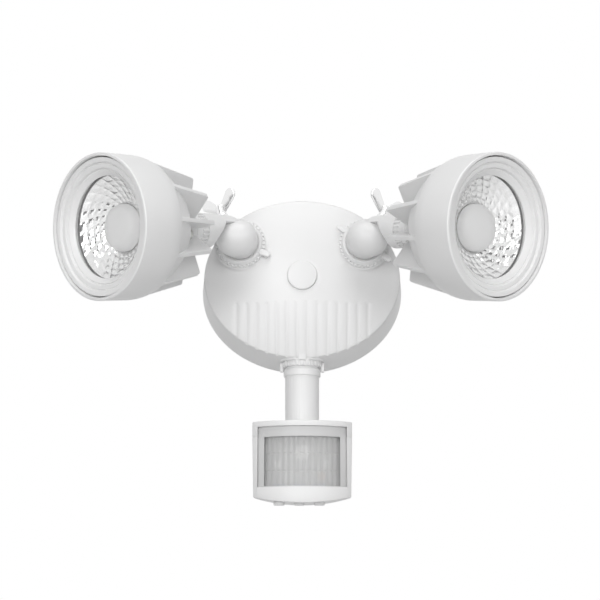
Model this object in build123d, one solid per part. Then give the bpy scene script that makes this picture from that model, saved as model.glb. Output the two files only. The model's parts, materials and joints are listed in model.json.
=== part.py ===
from build123d import *
from math import atan, cos, degrees, pi, radians, sin, sqrt
import os

# Wall-mounted security light: a domed oval canopy carries two finned lamp heads on swivel arms and,
# below, a motion sensor on a stem. Millimetres, +Z up. The origin is the centre of the canopy's back
# face, on the wall plane Y = 0. The light faces -Y, and +X is on the right of someone facing it.

# ---------------------------------------------------------------- driving dimensions
# Canopy
canopy_half_width = 63.6
canopy_height_ratio = 0.823
canopy_side_depth = 40.0
canopy_draft = 4.1
dome_rise = 8.0
canopy_wall = 2.4
front_edge_radius = 1.2
rim_flange_width = 6.4
rim_flange_depth = 3.5
groove_count = 14
groove_pitch = 6.1
groove_width = 1.8
groove_depth = 1.1
groove_top = -16.0
plug_radius = 9.0
plug_height = 1.8
plug_recess = 0.6
plug_socket_depth = 6.0
post_radius = 4.6

# Wall fixing
bar_half_length = 53.0
bar_half_width = 11.0
bar_thickness = 1.6
box_screw_spacing = 88.9
box_slot_length = 13.0
box_slot_radius = 2.4
gasket_width = 2.6
gasket_thickness = 1.5
centre_screw_radius = 2.0
centre_screw_head_radius = 3.8
centre_screw_head_height = 2.4
centre_screw_tip = 0.4
ground_screw_offset = 22.0
ground_screw_radius = 1.75
ground_screw_head_radius = 4.0
ground_screw_head_height = 2.2

# Driver and leads
driver_half_width = 27.0
driver_height = 26.0
driver_centre_z = -22.0
driver_setback = 10.0
driver_thickness = 20.0
driver_tab_length = 8.0
driver_tab_thickness = 2.0
driver_tab_half_width = 5.0
driver_screw_radius = 1.4
driver_screw_grip = 7.0
lead_radius = 2.3

# Threaded joints between the canopy, the arms and the sensor stem
thread_radius = 10.2
running_clearance = 0.06
seat_clearance = 0.1
arm_spacing = 74.8
arm_height = 19.6
boss_rise = 6.8
boss_radius = 16.0
thread_boss_wall = 3.2
thread_boss_depth = 12.8
arm_gasket_radius = 13.6
arm_gasket_thickness = 0.6
arm_ring_back_radius = 15.0
arm_ring_front_radius = 12.6
arm_ring_height = 4.0
arm_ring_ear_reach = 19.5
arm_ring_ear_width = 3.3
arm_ring_notches = 36
left_ring_ear_angle = -23.5
right_ring_ear_angle = 146.0
lead_bore_radius = 7.0

# Elbow and knuckle
elbow_radius = 10.75
pivot_reach = 14.6
pivot_offset = 6.2
ball_offset = 2.9
ear_height = 7.9
pivot_boss_radius = 6.5
screw_radius = 2.3
knuckle_radius = 9.6
knuckle_root_radius = 10.2
knuckle_top = 14.4
web_foot = 16.6
web_head = 8.6
wing_hub_radius = 2.9
wing_hub_height = 8.0
wing_angle = 54.0
wing_length = 14.0
wing_width = 5.8
wing_thickness = 1.8
wing_turn = 40.0

# Lamp heads: distances along a head are measured back from its rim plane
head_axis_height = 5.6
head_length = 96.8
left_lean = 15.0
right_lean = 16.8
left_aim = 43.6
right_aim = 40.3
rim_radius = 39.6
rim_wall = 1.7
barrel_straight = 18.5
barrel_knee = 23.0
barrel_back = 26.5
barrel_taper = 1.6
barrel_edge = 1.2
back_middle_rise = 16.0
back_middle_radius = 27.0
back_rise = 27.7
neck_radius = 10.3
neck_flare = 1.7
neck_flare_length = 1.2
neck_end = 62.5
stub_radius = 8.0
stub_end = 55.0
fin_count = 12
fin_thickness = 2.2
left_head_turn = 14.5
right_head_turn = -1.2
fin_reach = 30.5
fin_taper = 6.6
fin_root = 62.0
fin_corner_radius = 1.8
neck_ring_end = 73.0
neck_ring_radius = 10.2
neck_ring_collar_radius = 9.5
neck_ring_teeth = 26
neck_ring_tooth_length = 4.6
bezel_gap = 0.6
bezel_width = 9.6
window_depth = 6.05
lens_lap = 1.6
lens_thickness = 2.5
lens_gasket_thickness = 0.65
reflector_wall = 1.2
diffuser_radius = 13.0
diffuser_depth = 18.0
diffuser_crown = 5.0
diffuser_thickness = 1.2
led_board_radius = 15.0
led_board_thickness = 1.6
led_emitter_radius = 9.5
led_emitter_thickness = 1.2
pedestal_radius = 16.5
chamber_step = 5.1
chamber_straight = 24.0
chamber_taper = 1.5
chamber_taper_depth = 5.0
head_floor_depth = 10.5
head_floor_radius = 25.5
rear_screw_count = 4
rear_screw_circle = 20.6
rear_screw_radius = 1.45
rear_screw_seat = 46.0
rear_screw_length = 9.0
rear_screw_head_height = 2.0
rear_boss_radius = 3.3

# Motion sensor
stem_depth = 27.0
sensor_ring_radius = 12.1
sensor_ring_height = 3.3
sensor_ring_notches = 24
sensor_ring_ear_reach = 13.5
sensor_ring_ear_drop = 6.0
sensor_boss_face = -49.9
stem_boss_height = 10.0
stem_radius = 10.35
stem_bead_radius = 11.25
stem_bead_height = 5.0
stem_spigot_radius = 8.6
hood_top = -87.6
hood_thickness = 3.1
hood_skirt = 5.8
hood_half_width = 29.5
sensor_bottom_half_width = 28.65
sensor_front = 52.0
sensor_side_front = 40.0
sensor_side_back = 27.0
sensor_back = 8.0
sensor_split = 24.0
sensor_side_bottom = -131.4
sensor_bow = 3.5
sensor_wall = 2.2
sensor_floor = -128.8
opening_half_width = 26.3
opening_bottom = -126.0
frame_recess = 2.0
frame_thickness = 2.4
window_half_width = 22.3
window_top = -96.7
window_bottom = -125.4
fresnel_thickness = 1.2
fresnel_margin = 1.6
knob_pitch = 11.8
knob_centre = -1.8
knob_radius = 3.25
knob_bottom = -136.2
knob_spindle_radius = 1.5
pocket_top = -131.6
circuit_half_width = 18.5
circuit_top = -96.0
circuit_bottom = -127.5
circuit_depth = 29.4
circuit_thickness = 1.6
circuit_screw_inset = 4.0
circuit_screw_radius = 1.0
circuit_post_radius = 2.4
cover_screw_inset = 7.0
cover_screw_radius = 1.1
cover_screw_head_radius = 2.4
cover_boss_radius = 3.4
pir_height = -105.1
pir_radius = 4.1
pir_stand = 3.0
photocell_x = 11.5
photocell_height = -119.0
photocell_radius = 2.5
potentiometer_half_width = 4.0
potentiometer_height = 5.0
potentiometer_gap = 1.0

# ---------------------------------------------------------------- derived sizes
canopy_front_half_width = canopy_half_width - canopy_draft
canopy_half_height = canopy_half_width * canopy_height_ratio
canopy_front_half_height = canopy_front_half_width * canopy_height_ratio
canopy_depth = canopy_side_depth + dome_rise
boss_face = canopy_side_depth + boss_rise
thread_boss_back = boss_face - thread_boss_depth
pivot_depth = boss_face + pivot_reach
driver_front = canopy_side_depth - driver_setback
barrel_back_radius = rim_radius - barrel_taper
window_radius = rim_radius - rim_wall - bezel_gap - bezel_width
lens_radius = window_radius + lens_lap
head_floor = barrel_back + head_floor_depth
thread_bore = thread_radius + running_clearance
ring_back = boss_face + arm_gasket_thickness
ring_front = ring_back + arm_ring_height
elbow_shoulder = ring_front + 5 * seat_clearance
plug_seat = canopy_depth - plug_recess
plug_floor = canopy_depth - plug_socket_depth
lens_front = window_depth + 1.0
lens_back = lens_front + lens_thickness
reflector_front = lens_back + lens_gasket_thickness
shelf = reflector_front + 0.8
led_top = diffuser_depth + diffuser_thickness + 1.0
led_board_back = led_top + led_emitter_thickness + led_board_thickness
sensor_ring_bottom = sensor_boss_face - sensor_ring_height
bead_top = sensor_ring_bottom - 8 * seat_clearance
hood_underside = hood_top - hood_thickness
skirt_bottom = hood_underside - hood_skirt
opening_back = sensor_side_back + 3.0
sensor_bottom = sensor_side_bottom - sensor_bow
cover_screw_seat = sensor_split - 4.0
circuit_front = circuit_depth + circuit_thickness
knob_depth = circuit_front + potentiometer_gap + potentiometer_half_width


# ---------------------------------------------------------------- building blocks
def rod(radius, start, end):
    """Solid cylinder along local Z between two heights."""
    low = min(start, end)
    return Pos(0, 0, low) * Cylinder(radius, abs(end - start), align=(Align.CENTER, Align.CENTER, Align.MIN))


def tube(outer, inner, start, end):
    """Hollow cylinder along local Z between two heights."""
    return rod(outer, start, end) - rod(inner, min(start, end) - 1, max(start, end) + 1)


def cone(radius_start, radius_end, start, end):
    """Solid frustum along local Z, with a radius at each height."""
    frustum = Cone(radius_start, radius_end, end - start, align=(Align.CENTER, Align.CENTER, Align.MIN))
    return Pos(0, 0, start) * frustum


def block(x_range, y_range, z_range):
    """Solid box between two corners, given as a range on each axis."""
    size = [high - low for low, high in (x_range, y_range, z_range)]
    centre = [(high + low) / 2 for low, high in (x_range, y_range, z_range)]
    return Pos(*centre) * Box(*size)


def turned(edges):
    """Body of revolution about local Z from edges drawn in the plane Y = 0."""
    return revolve(make_face(edges), axis=Axis.Z)


def turned_outline(points):
    """Body of revolution about local Z from (radius, height) corners."""
    return turned(Polyline(*[(radius, 0, height) for radius, height in points], close=True))


def crown(radius, rim, apex):
    """Arc from a rim at the given radius to its apex on the axis, square to the axis there."""
    rise = apex - rim
    sphere = (radius**2 + rise**2) / (2 * abs(rise))
    middle = radius / 2
    drop = sphere - sqrt(sphere**2 - middle**2)
    level = apex - drop if rise > 0 else apex + drop
    return ThreePointArc((radius, 0, rim), (middle, 0, level), (0, 0, apex))


def front_place(x, z):
    """Place at a point of the wall whose local Z points forward, out of the wall."""
    return Plane(origin=(x, 0, z), x_dir=(1, 0, 0), z_dir=(0, -1, 0)).location


def around(count, piece, phase=0.0):
    """Copies of a piece turned evenly about local Z."""
    return [Rot(0, 0, phase + 360 * step / count) * piece for step in range(count)]


def save(name, shape):
    """Write one named piece."""
    if isinstance(shape, list):
        shape = Compound(children=shape)
    export_step(shape, f"parts/{name}.step")


# ---------------------------------------------------------------- canopy and what it holds
wall = front_place(0, 0)


def domed_body(base_radius, edge_radius, start, side, rise, rounding=0.0):
    """Drafted side wall with a shallow dome in front, squashed to the canopy's oval."""
    outline = Polyline((0, 0, side + rise), (0, 0, start), (base_radius, 0, start), (edge_radius, 0, side))
    face = make_face(outline + crown(edge_radius, side, side + rise))
    if rounding:
        corner = face.vertices().sort_by(Axis.X)[-2:].sort_by(Axis.Z)[-1]
        face = fillet(corner, rounding)
    return scale(revolve(face, axis=Axis.Z), by=(1, canopy_height_ratio, 1))


def canopy_outside():
    """Outer skin of the canopy as a solid, in the forward-facing place."""
    return domed_body(
        canopy_half_width, canopy_front_half_width, 0, canopy_side_depth, dome_rise, front_edge_radius
    )


def canopy_inside():
    """Hollow of the canopy as a solid."""
    front = canopy_side_depth - canopy_wall
    base = canopy_half_width - canopy_wall
    main = domed_body(base, canopy_front_half_width - canopy_wall, rim_flange_depth, front, dome_rise)
    mouth = rod(canopy_half_width - rim_flange_width, -1, rim_flange_depth + 1)
    return main + scale(mouth, by=(1, canopy_height_ratio, 1))


def canopy_grooves():
    """Vertical grooves that start in the dome and deepen to its lower front edge."""
    fall = groove_depth / (canopy_front_half_height + groove_top)
    tilt = degrees(atan(fall))
    hinge = Pos(0, groove_top, canopy_side_depth + dome_rise * 0.85)
    floor = hinge * Rot(tilt, 0, 0) * hinge.inverse() * canopy_outside()
    low = -canopy_half_height
    half = groove_width / 2
    strip = block((-half, half), (low, groove_top), (canopy_side_depth - 1.5, canopy_depth))
    first = -(groove_count - 1) * groove_pitch / 2
    strips = [Pos(first + step * groove_pitch, 0, 0) * strip for step in range(groove_count)]
    return [one - floor for one in strips]


def ring_groove(clearance):
    """Oval ring in the canopy's back rim, where the wall gasket lies."""
    outer = canopy_half_width - canopy_wall / 2
    ring = tube(outer + clearance, outer - gasket_width - clearance, 0, gasket_thickness + clearance)
    return scale(ring, by=(1, canopy_height_ratio, 1))


def driver_screw_places():
    """Places of the two driver screws, in the forward-facing place."""
    offset = driver_half_width + driver_tab_length / 2
    return [Pos(side * offset, driver_centre_z, 0) for side in (-1, 1)]


def canopy_shell():
    """Die-cast canopy with its threaded bosses, centre post and driver standoffs."""
    inside = canopy_inside()
    shell = canopy_outside() - inside
    internal = []
    for side in (-1, 1):
        place = Pos(side * arm_spacing / 2, arm_height, 0)
        flare = cone(boss_radius - thread_boss_wall, boss_radius, thread_boss_back, boss_face)
        shell += place * flare - inside
        internal.append(place * rod(thread_bore + thread_boss_wall, thread_boss_back, canopy_side_depth + 2))
    for place in driver_screw_places():
        internal.append(place * rod(2 * driver_screw_radius + 0.6, driver_front, canopy_side_depth + 2))
    dome_middle = canopy_depth - canopy_wall / 2
    internal.append(rod(post_radius, bar_thickness + 0.4, dome_middle))
    internal.append(rod(plug_radius + 0.8, plug_floor - canopy_wall, dome_middle))
    stem_place = Plane(origin=(0, 0, stem_depth), x_dir=(1, 0, 0), z_dir=(0, 1, 0)).location
    stem_boss_top = sensor_boss_face + stem_boss_height
    internal.append(stem_place * rod(thread_bore + thread_boss_wall, sensor_boss_face, stem_boss_top))
    shell += internal
    spot_face = stem_place * rod(sensor_ring_ear_reach + 0.4, sensor_boss_face - 6, sensor_boss_face)
    shell -= spot_face
    shell -= stem_place * rod(thread_bore, sensor_boss_face - 2, stem_boss_top + 2)
    for side in (-1, 1):
        place = Pos(side * arm_spacing / 2, arm_height, 0)
        shell -= place * rod(thread_bore, thread_boss_back - 1, boss_face + 4)
    for place in driver_screw_places():
        hole_end = driver_front + driver_screw_grip + 1
        shell -= place * rod(driver_screw_radius + running_clearance, driver_front - 1, hole_end)
    shell -= rod(plug_radius + 0.15, plug_seat, canopy_depth + 2)
    shell -= rod(plug_radius - 2, plug_floor, canopy_depth)
    shell -= rod(centre_screw_radius + 0.25, 0, plug_floor + 1)
    shell -= ring_groove(0.0)
    return wall * (shell - canopy_grooves())


def machine_screw(radius, head_radius, head_height, seat, tip, drive=0.35):
    """Pan-head screw along local Z: the head stands above seat, the shank runs down to tip."""
    outward = 1 if seat > tip else -1
    head_top = seat + outward * head_height
    screw = rod(head_radius, seat, head_top) + rod(radius, seat + outward * head_height / 3, tip)
    slot = block(
        (-head_radius * drive / 2, head_radius * drive / 2),
        (-head_radius * 0.75, head_radius * 0.75),
        sorted((head_top, head_top - outward * head_height * 0.45)),
    )
    return screw - slot


def mounting_bar():
    """Flat steel bar that is screwed to the wall box and takes the centre screw."""
    bar = block((-bar_half_length, bar_half_length), (-bar_half_width, bar_half_width), (0, bar_thickness))
    bar = fillet(bar.edges().filter_by(Axis.Z), bar_half_width * 0.45)
    reach = box_slot_length / 2 - box_slot_radius
    for side in (-1, 1):
        centre = side * box_screw_spacing / 2
        slot = block(
            (centre - reach, centre + reach), (-box_slot_radius, box_slot_radius), (-1, bar_thickness + 1)
        )
        for end in (-1, 1):
            slot += Pos(centre + end * reach, 0, 0) * rod(box_slot_radius, -1, bar_thickness + 1)
        bar -= slot
    bar -= rod(centre_screw_radius + running_clearance, -1, bar_thickness + 1)
    ground_hole = rod(ground_screw_radius + running_clearance, -1, bar_thickness + 1)
    bar -= Pos(ground_screw_offset, 0, 0) * ground_hole
    return wall * bar


def centre_plug():
    """Round cap with a hollow stub that closes the hole over the centre screw."""
    cap = rod(plug_radius, plug_seat, canopy_depth + plug_height)
    cap = fillet(cap.edges().sort_by(Axis.Z)[-1], plug_height * 0.6)
    stub_radius_outer = plug_radius - 2 - running_clearance
    cap += tube(stub_radius_outer, stub_radius_outer - 1.4, plug_seat - 2.4, plug_seat + 0.01)
    return wall * cap


def led_driver():
    """Potted power supply with a fixing tab at each end."""
    back = driver_front - driver_thickness
    half = driver_height / 2
    body = block((-driver_half_width, driver_half_width), (-half, half), (back, driver_front))
    body = fillet(body.edges().filter_by(Axis.Z), 2.5)
    tab_end = driver_half_width + driver_tab_length
    tab = block(
        (-tab_end, tab_end),
        (-driver_tab_half_width, driver_tab_half_width),
        (driver_front - driver_tab_thickness, driver_front),
    )
    body += fillet(tab.edges().filter_by(Axis.Z), driver_tab_half_width / 2)
    body = Pos(0, driver_centre_z, 0) * body
    for place in driver_screw_places():
        body -= place * rod(driver_screw_radius + running_clearance, back, driver_front + 1)
    return wall * body


def driver_screws():
    """Two screws that hold the driver's tabs on the standoffs."""
    seat = driver_front - driver_tab_thickness
    tip = driver_front + driver_screw_grip
    screw = machine_screw(driver_screw_radius, 2 * driver_screw_radius, 1.8, seat, tip)
    return [wall * place * screw for place in driver_screw_places()]


def lamp_lead(side):
    """Sheathed lead from the driver's end into the hollow of an arm."""
    level = driver_front - driver_thickness / 2
    x_arm = side * arm_spacing / 2
    corners = [
        (side * driver_half_width, driver_centre_z, level),
        (x_arm, driver_centre_z, level),
        (x_arm, arm_height, level),
        (x_arm, arm_height, boss_face),
    ]
    bend = (arm_spacing / 2 - driver_half_width) * 0.7
    path = FilletPolyline(*corners, radius=bend)
    section = Plane(origin=corners[0], z_dir=(side, 0, 0)) * Circle(lead_radius)
    return wall * sweep(section, path=path)


def sensor_lead():
    """Sheathed lead from the driver's lower face down into the sensor stem."""
    top = driver_centre_z - driver_height / 2
    return Pos(0, 2 - stem_depth, 0) * rod(lead_radius, top, sensor_boss_face - 12)


# ---------------------------------------------------------------- lock rings and elbows
def notched(ring, count, radius, start, end):
    """Cut even finger notches around a ring."""
    half = pi * radius / count / 2
    notch = block((radius - 0.7, radius + 3), (-half, half), (start, end))
    return ring - around(count, notch)


def arm_lock_ring(side, ear_angle):
    """Knurled, coned ring with two ears that locks an arm's thread."""
    ring = cone(arm_ring_back_radius, arm_ring_front_radius, ring_back, ring_front)
    middle = (arm_ring_back_radius + arm_ring_front_radius) / 2
    ring = notched(ring, arm_ring_notches, middle + 0.4, ring_back + 0.7, ring_front - 0.6)
    half = arm_ring_ear_width / 2
    ear = block((thread_bore + 1, arm_ring_ear_reach - half), (-half, half), (ring_back, ring_front - 0.7))
    ear += Pos(arm_ring_ear_reach - half, 0, 0) * rod(half, ring_back, ring_front - 0.7)
    ring += around(2, ear, ear_angle)
    ring -= rod(thread_bore, ring_back - 1, ring_front + 1)
    ring -= cone(thread_bore, arm_ring_front_radius - 0.6, ring_front - 1.6, ring_front + 0.01)
    return front_place(side * arm_spacing / 2, arm_height) * ring


def lean_axes(side, lean):
    """Tilt axis and outward direction of one arm, square to each other."""
    up = Vector(side * sin(radians(lean)), 0, cos(radians(lean)))
    out = Vector(side * cos(radians(lean)), 0, -sin(radians(lean)))
    return up, out


def pivot_point(side, lean):
    """Centre of the tilt joint, level with the middle of the elbow."""
    _, out = lean_axes(side, lean)
    return Vector(side * arm_spacing / 2, -pivot_depth, arm_height) + out * pivot_offset


def elbow(side, lean):
    """Hollow threaded arm that ends in a ball, with a flat seat for the knuckle."""
    up, out = lean_axes(side, lean)
    axis = front_place(side * arm_spacing / 2, arm_height)
    arm = axis * (rod(thread_radius, thread_boss_back + 2, elbow_shoulder + 0.01))
    arm += axis * rod(elbow_radius, elbow_shoulder, pivot_depth)
    bend = Vector(side * arm_spacing / 2, -pivot_depth, arm_height)
    across = Plane(origin=bend, z_dir=out).location
    arm += Location(bend) * Sphere(elbow_radius)
    arm += across * rod(elbow_radius, 0, ball_offset)
    arm += Location(bend + out * ball_offset) * Sphere(elbow_radius)
    joint = Plane(origin=pivot_point(side, lean), x_dir=out, z_dir=up).location
    arm -= joint * block((-40, 40), (-40, 40), (ear_height, 40))
    arm += joint * rod(pivot_boss_radius, 0, ear_height)
    arm -= axis * rod(lead_bore_radius, thread_boss_back, elbow_shoulder)
    arm -= joint * rod(screw_radius + running_clearance, -2, ear_height + 1)
    return arm


def wing_screw(side, lean, turn):
    """Clamping screw with two paddle wings."""
    up, out = lean_axes(side, lean)
    place = Plane(origin=pivot_point(side, lean), x_dir=out, z_dir=up).location * Rot(0, 0, turn)
    seat = knuckle_top + seat_clearance / 2
    top = seat + wing_hub_height
    screw = rod(screw_radius, -1, seat + 0.01) + cone(wing_hub_radius + 0.5, wing_hub_radius, seat, top)
    screw = fillet(screw.edges().sort_by(Axis.Z)[-1], 1.0)
    root = seat + wing_hub_height * 0.45
    half = wing_width / 2
    paddle = block((-half, half), (-wing_thickness / 2, wing_thickness / 2), (0, wing_length - half))
    tip = Rot(90, 0, 0) * rod(half, -wing_thickness / 2, wing_thickness / 2)
    paddle += Pos(0, 0, wing_length - half) * tip
    for lift in (-wing_angle, wing_angle):
        screw += Pos(0, 0, root) * Rot(0, lift, 0) * paddle
    return place * screw


# ---------------------------------------------------------------- lamp heads
def head_axes(side, lean, aim):
    """Forward direction and tilt axis of one lamp head."""
    up, out = lean_axes(side, lean)
    forward = Vector(0, -1, 0) * cos(radians(aim)) + out * sin(radians(aim))
    return forward, up


def head_place(side, lean, aim):
    """Place at the centre of the rim plane whose local Z points back to the arm."""
    forward, up = head_axes(side, lean, aim)
    centre = pivot_point(side, lean) + up * head_axis_height + forward * head_length
    return Plane(origin=centre, x_dir=up, z_dir=-forward).location


def knuckle():
    """Hooded ear that turns on the elbow, its web and the threaded stub, in the head's place."""
    pivot = head_length
    shoulder = neck_ring_end + 2 * seat_clearance
    tip = pivot + knuckle_radius
    corners = Polyline(
        (0, 0, tip),
        (0, 0, stub_end),
        (stub_radius, 0, stub_end),
        (stub_radius, 0, shoulder),
        (knuckle_root_radius, 0, shoulder),
        (knuckle_root_radius, 0, pivot - 10),
        (knuckle_radius, 0, pivot),
    )
    body = turned(corners + crown(knuckle_radius, pivot, tip))
    ear_level = ear_height + seat_clearance / 2 - head_axis_height
    far = 30
    web = Polyline(
        (-far, 0, pivot + far),
        (-far, 0, pivot - web_foot),
        (-8, 0, pivot - web_foot),
        (ear_level, 0, pivot - web_head),
        (ear_level, 0, pivot + far),
        close=True,
    )
    body -= extrude(make_face(web), amount=far, both=True)
    body -= block((knuckle_top - head_axis_height, far), (-4.4, 4.4), (pivot - 4.4, pivot + 4.4))
    joint = Plane(origin=(0, 0, pivot), z_dir=(1, 0, 0)).location
    body -= joint * rod(screw_radius + 0.3, 0, far)
    return body


def neck_ring():
    """Toothed lock ring on the stub between the knuckle and the neck."""
    start = neck_end + seat_clearance
    teeth_start = neck_ring_end - neck_ring_tooth_length
    ring = rod(neck_ring_collar_radius - 0.7, start, start + 1.9)
    ring += rod(neck_ring_collar_radius, start + 1.9, teeth_start)
    ring += rod(neck_ring_radius, teeth_start, neck_ring_end)
    half = pi * neck_ring_radius / neck_ring_teeth / 2
    depths = (neck_ring_radius - 0.8, neck_ring_radius + 2)
    gap = block(depths, (-half, half), (teeth_start, neck_ring_end + 1))
    ring -= around(neck_ring_teeth, gap)
    return ring - rod(stub_radius + running_clearance, start - 1, neck_ring_end + 1)


def head_outside():
    """Outer shape of the housing without its fins."""
    edge_radius = barrel_back_radius - barrel_edge
    edge_depth = barrel_back + barrel_edge
    corners = Polyline(
        (neck_radius + neck_flare, 0, barrel_back + back_rise),
        (neck_radius, 0, barrel_back + back_rise + neck_flare_length),
        (neck_radius, 0, neck_end),
        (0, 0, neck_end),
        (0, 0, 0),
        (rim_radius - 0.5, 0, 0),
        (rim_radius, 0, 0.5),
        (rim_radius, 0, barrel_straight),
    )
    side = ThreePointArc(
        (rim_radius, 0, barrel_straight),
        (rim_radius - barrel_taper / 3, 0, barrel_knee),
        (barrel_back_radius, 0, barrel_back),
    )
    edge = Line((barrel_back_radius, 0, barrel_back), (edge_radius, 0, edge_depth))
    back = ThreePointArc(
        (edge_radius, 0, edge_depth),
        (back_middle_radius, 0, barrel_back + back_middle_rise),
        (neck_radius + neck_flare, 0, barrel_back + back_rise),
    )
    return turned(corners + side + edge + back)


def head_fin():
    """One cooling fin in the plane Y = 0 of the head."""
    inner = neck_radius - 1
    outline = Polyline(
        (inner, 0, barrel_back - 1),
        (barrel_back_radius, 0, barrel_back),
        (barrel_back_radius - fin_taper, 0, barrel_back + fin_reach),
        (inner, 0, fin_root),
        close=True,
    )
    face = make_face(outline)
    outer = face.vertices().sort_by(Axis.X)[-2:].sort_by(Axis.Z)[-1]
    face = fillet(outer, fin_corner_radius)
    return extrude(face, amount=fin_thickness / 2, both=True)


def head_inside():
    """Bezel seat and lamp chamber of the housing."""
    seat = rod(rim_radius - rim_wall, -1, shelf)
    inner = rim_radius - rim_wall - chamber_step
    chamber = turned_outline(
        [(0, shelf - 1), (inner, shelf - 1), (inner, chamber_straight),
         (inner - chamber_taper, chamber_straight + chamber_taper_depth),
         (head_floor_radius, head_floor), (0, head_floor)]
    )
    return seat + chamber


def rear_screw_places():
    """Places of the screws in the housing's back, each midway between two fins."""
    return around(rear_screw_count, Pos(rear_screw_circle, 0, 0), 180 / fin_count)


def head_housing():
    """Die-cast finned housing with the neck that screws onto the knuckle."""
    hole_end = rear_screw_seat - rear_screw_length - 1
    hole = rod(rear_screw_radius + running_clearance, hole_end, rear_screw_seat + 1)
    recess = rod(rear_boss_radius, rear_screw_seat, neck_end)
    boss = rod(rear_boss_radius, head_floor + 1, rear_screw_seat)
    places = rear_screw_places()
    body = head_outside() + around(fin_count, head_fin()) + [place * boss for place in places]
    body -= head_inside()
    body += rod(pedestal_radius, led_board_back, head_floor + 0.5)
    body -= rod(stub_radius + running_clearance, stub_end - 1, neck_end + 1)
    return body - [place * (recess + hole) for place in places]


def rear_screws():
    """Pan-head screws sunk in the housing's back."""
    tip = rear_screw_seat - rear_screw_length
    head_radius = 2 * rear_screw_radius
    screw = machine_screw(rear_screw_radius, head_radius, rear_screw_head_height, rear_screw_seat, tip)
    return [place * screw for place in rear_screw_places()]


def bezel():
    """Stepped ring that clamps the lens."""
    outer = rim_radius - rim_wall - bezel_gap
    seat = lens_radius + 0.2
    inner = outer - 2.5
    step = (outer - window_radius) / 3
    return turned_outline(
        [(outer, 0.9), (outer - 0.6, 0.3), (outer - step - 0.2, 1.2), (outer - step - 0.2, 2.1),
         (outer - 2 * step, 3.3), (outer - 2 * step, 4.2), (window_radius, window_depth),
         (window_radius, lens_front - seat_clearance), (seat, lens_front - seat_clearance),
         (seat, reflector_front - seat_clearance), (inner, reflector_front - seat_clearance),
         (inner, shelf - seat_clearance), (outer, shelf - seat_clearance)]
    )


def head_lens():
    """Clear front glass."""
    return rod(lens_radius, lens_front, lens_back)


def head_lens_gasket():
    """Flat seal behind the glass."""
    return tube(lens_radius, lens_radius - 2, lens_back, reflector_front)


def reflector():
    """Bright dish from the glass down to the diffuser, with a flat flange."""
    mouth = window_radius - 1.1
    throat = diffuser_radius + 0.2
    ledge = diffuser_depth + diffuser_thickness + 2 * seat_clearance
    flange = rim_radius - rim_wall - bezel_gap - 2.7
    middle_radius = (mouth + throat) / 2 + 1.6
    middle = (reflector_front + ledge) / 2 + 0.6
    top = Line((mouth, 0, reflector_front), (flange, 0, reflector_front))
    edge = Line((flange, 0, reflector_front), (flange, 0, shelf))
    under = Line((flange, 0, shelf), (mouth + reflector_wall, 0, shelf))
    back = ThreePointArc(
        (mouth + reflector_wall, 0, shelf),
        (middle_radius + reflector_wall, 0, middle + reflector_wall),
        (throat + reflector_wall, 0, ledge + reflector_wall),
    )
    foot = Polyline(
        (throat + reflector_wall, 0, ledge + reflector_wall),
        (throat - 2, 0, ledge + reflector_wall),
        (throat - 2, 0, ledge),
        (throat, 0, ledge),
    )
    dish = ThreePointArc((throat, 0, ledge), (middle_radius, 0, middle), (mouth, 0, reflector_front))
    return turned(top + edge + under + back + foot + dish)


def diffuser():
    """Frosted cap over the light source, domed to the front."""
    front = diffuser_depth - diffuser_crown
    rim = diffuser_depth + 0.6
    back = diffuser_depth + diffuser_thickness + seat_clearance
    radius = diffuser_radius
    outline = Polyline((0, 0, front), (0, 0, back), (radius, 0, back), (radius, 0, rim))
    return turned(outline + crown(radius, rim, front))


def led_board():
    """Round metal-core board on the pedestal."""
    return rod(led_board_radius, led_top + led_emitter_thickness, led_board_back)


def led_emitter():
    """Light source on the board."""
    return rod(led_emitter_radius, led_top, led_top + led_emitter_thickness)


# ---------------------------------------------------------------- motion sensor
def sensor_plan(inset):
    """Outline from above: bowed front, straight sides, bowed back."""
    half = hood_half_width - inset
    front = sensor_front - inset
    side_front = sensor_side_front - inset * 0.8
    back = sensor_back + inset
    sides = Line((half, -side_front), (half, -sensor_side_back))
    other = Line((-half, -sensor_side_back), (-half, -side_front))
    face_arc = ThreePointArc((-half, -side_front), (0, -front), (half, -side_front))
    back_arc = ThreePointArc((half, -sensor_side_back), (0, -back), (-half, -sensor_side_back))
    return make_face(face_arc + sides + back_arc + other)


def sensor_column(inset, low, high):
    """The plan outline raised between two heights."""
    return extrude(Pos(0, 0, low) * sensor_plan(inset), amount=high - low)


def sensor_front_view(inset):
    """Front outline through the whole depth: sides that draw in, and a bowed bottom."""
    top = hood_half_width - inset
    bottom = sensor_bottom_half_width - inset
    outline = Polyline(
        (-bottom, 0, sensor_side_bottom + inset),
        (-top, 0, skirt_bottom),
        (-top, 0, hood_top),
        (top, 0, hood_top),
        (top, 0, skirt_bottom),
        (bottom, 0, sensor_side_bottom + inset),
    )
    corner = sensor_side_bottom + inset
    arc = ThreePointArc((bottom, 0, corner), (0, 0, sensor_bottom + inset), (-bottom, 0, corner))
    return extrude(make_face(outline + arc), amount=2 * sensor_front, both=True)


def sensor_slab(outer, inner, half_width, low, high):
    """Bowed sheet behind the front face, between two insets, cut to a window's size."""
    sheet = sensor_column(outer, low, high) - sensor_column(inner, low - 1, high + 1)
    depths = (-2 * sensor_front, -opening_back - seat_clearance)
    return sheet & block((-half_width, half_width), depths, (low, high))


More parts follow.
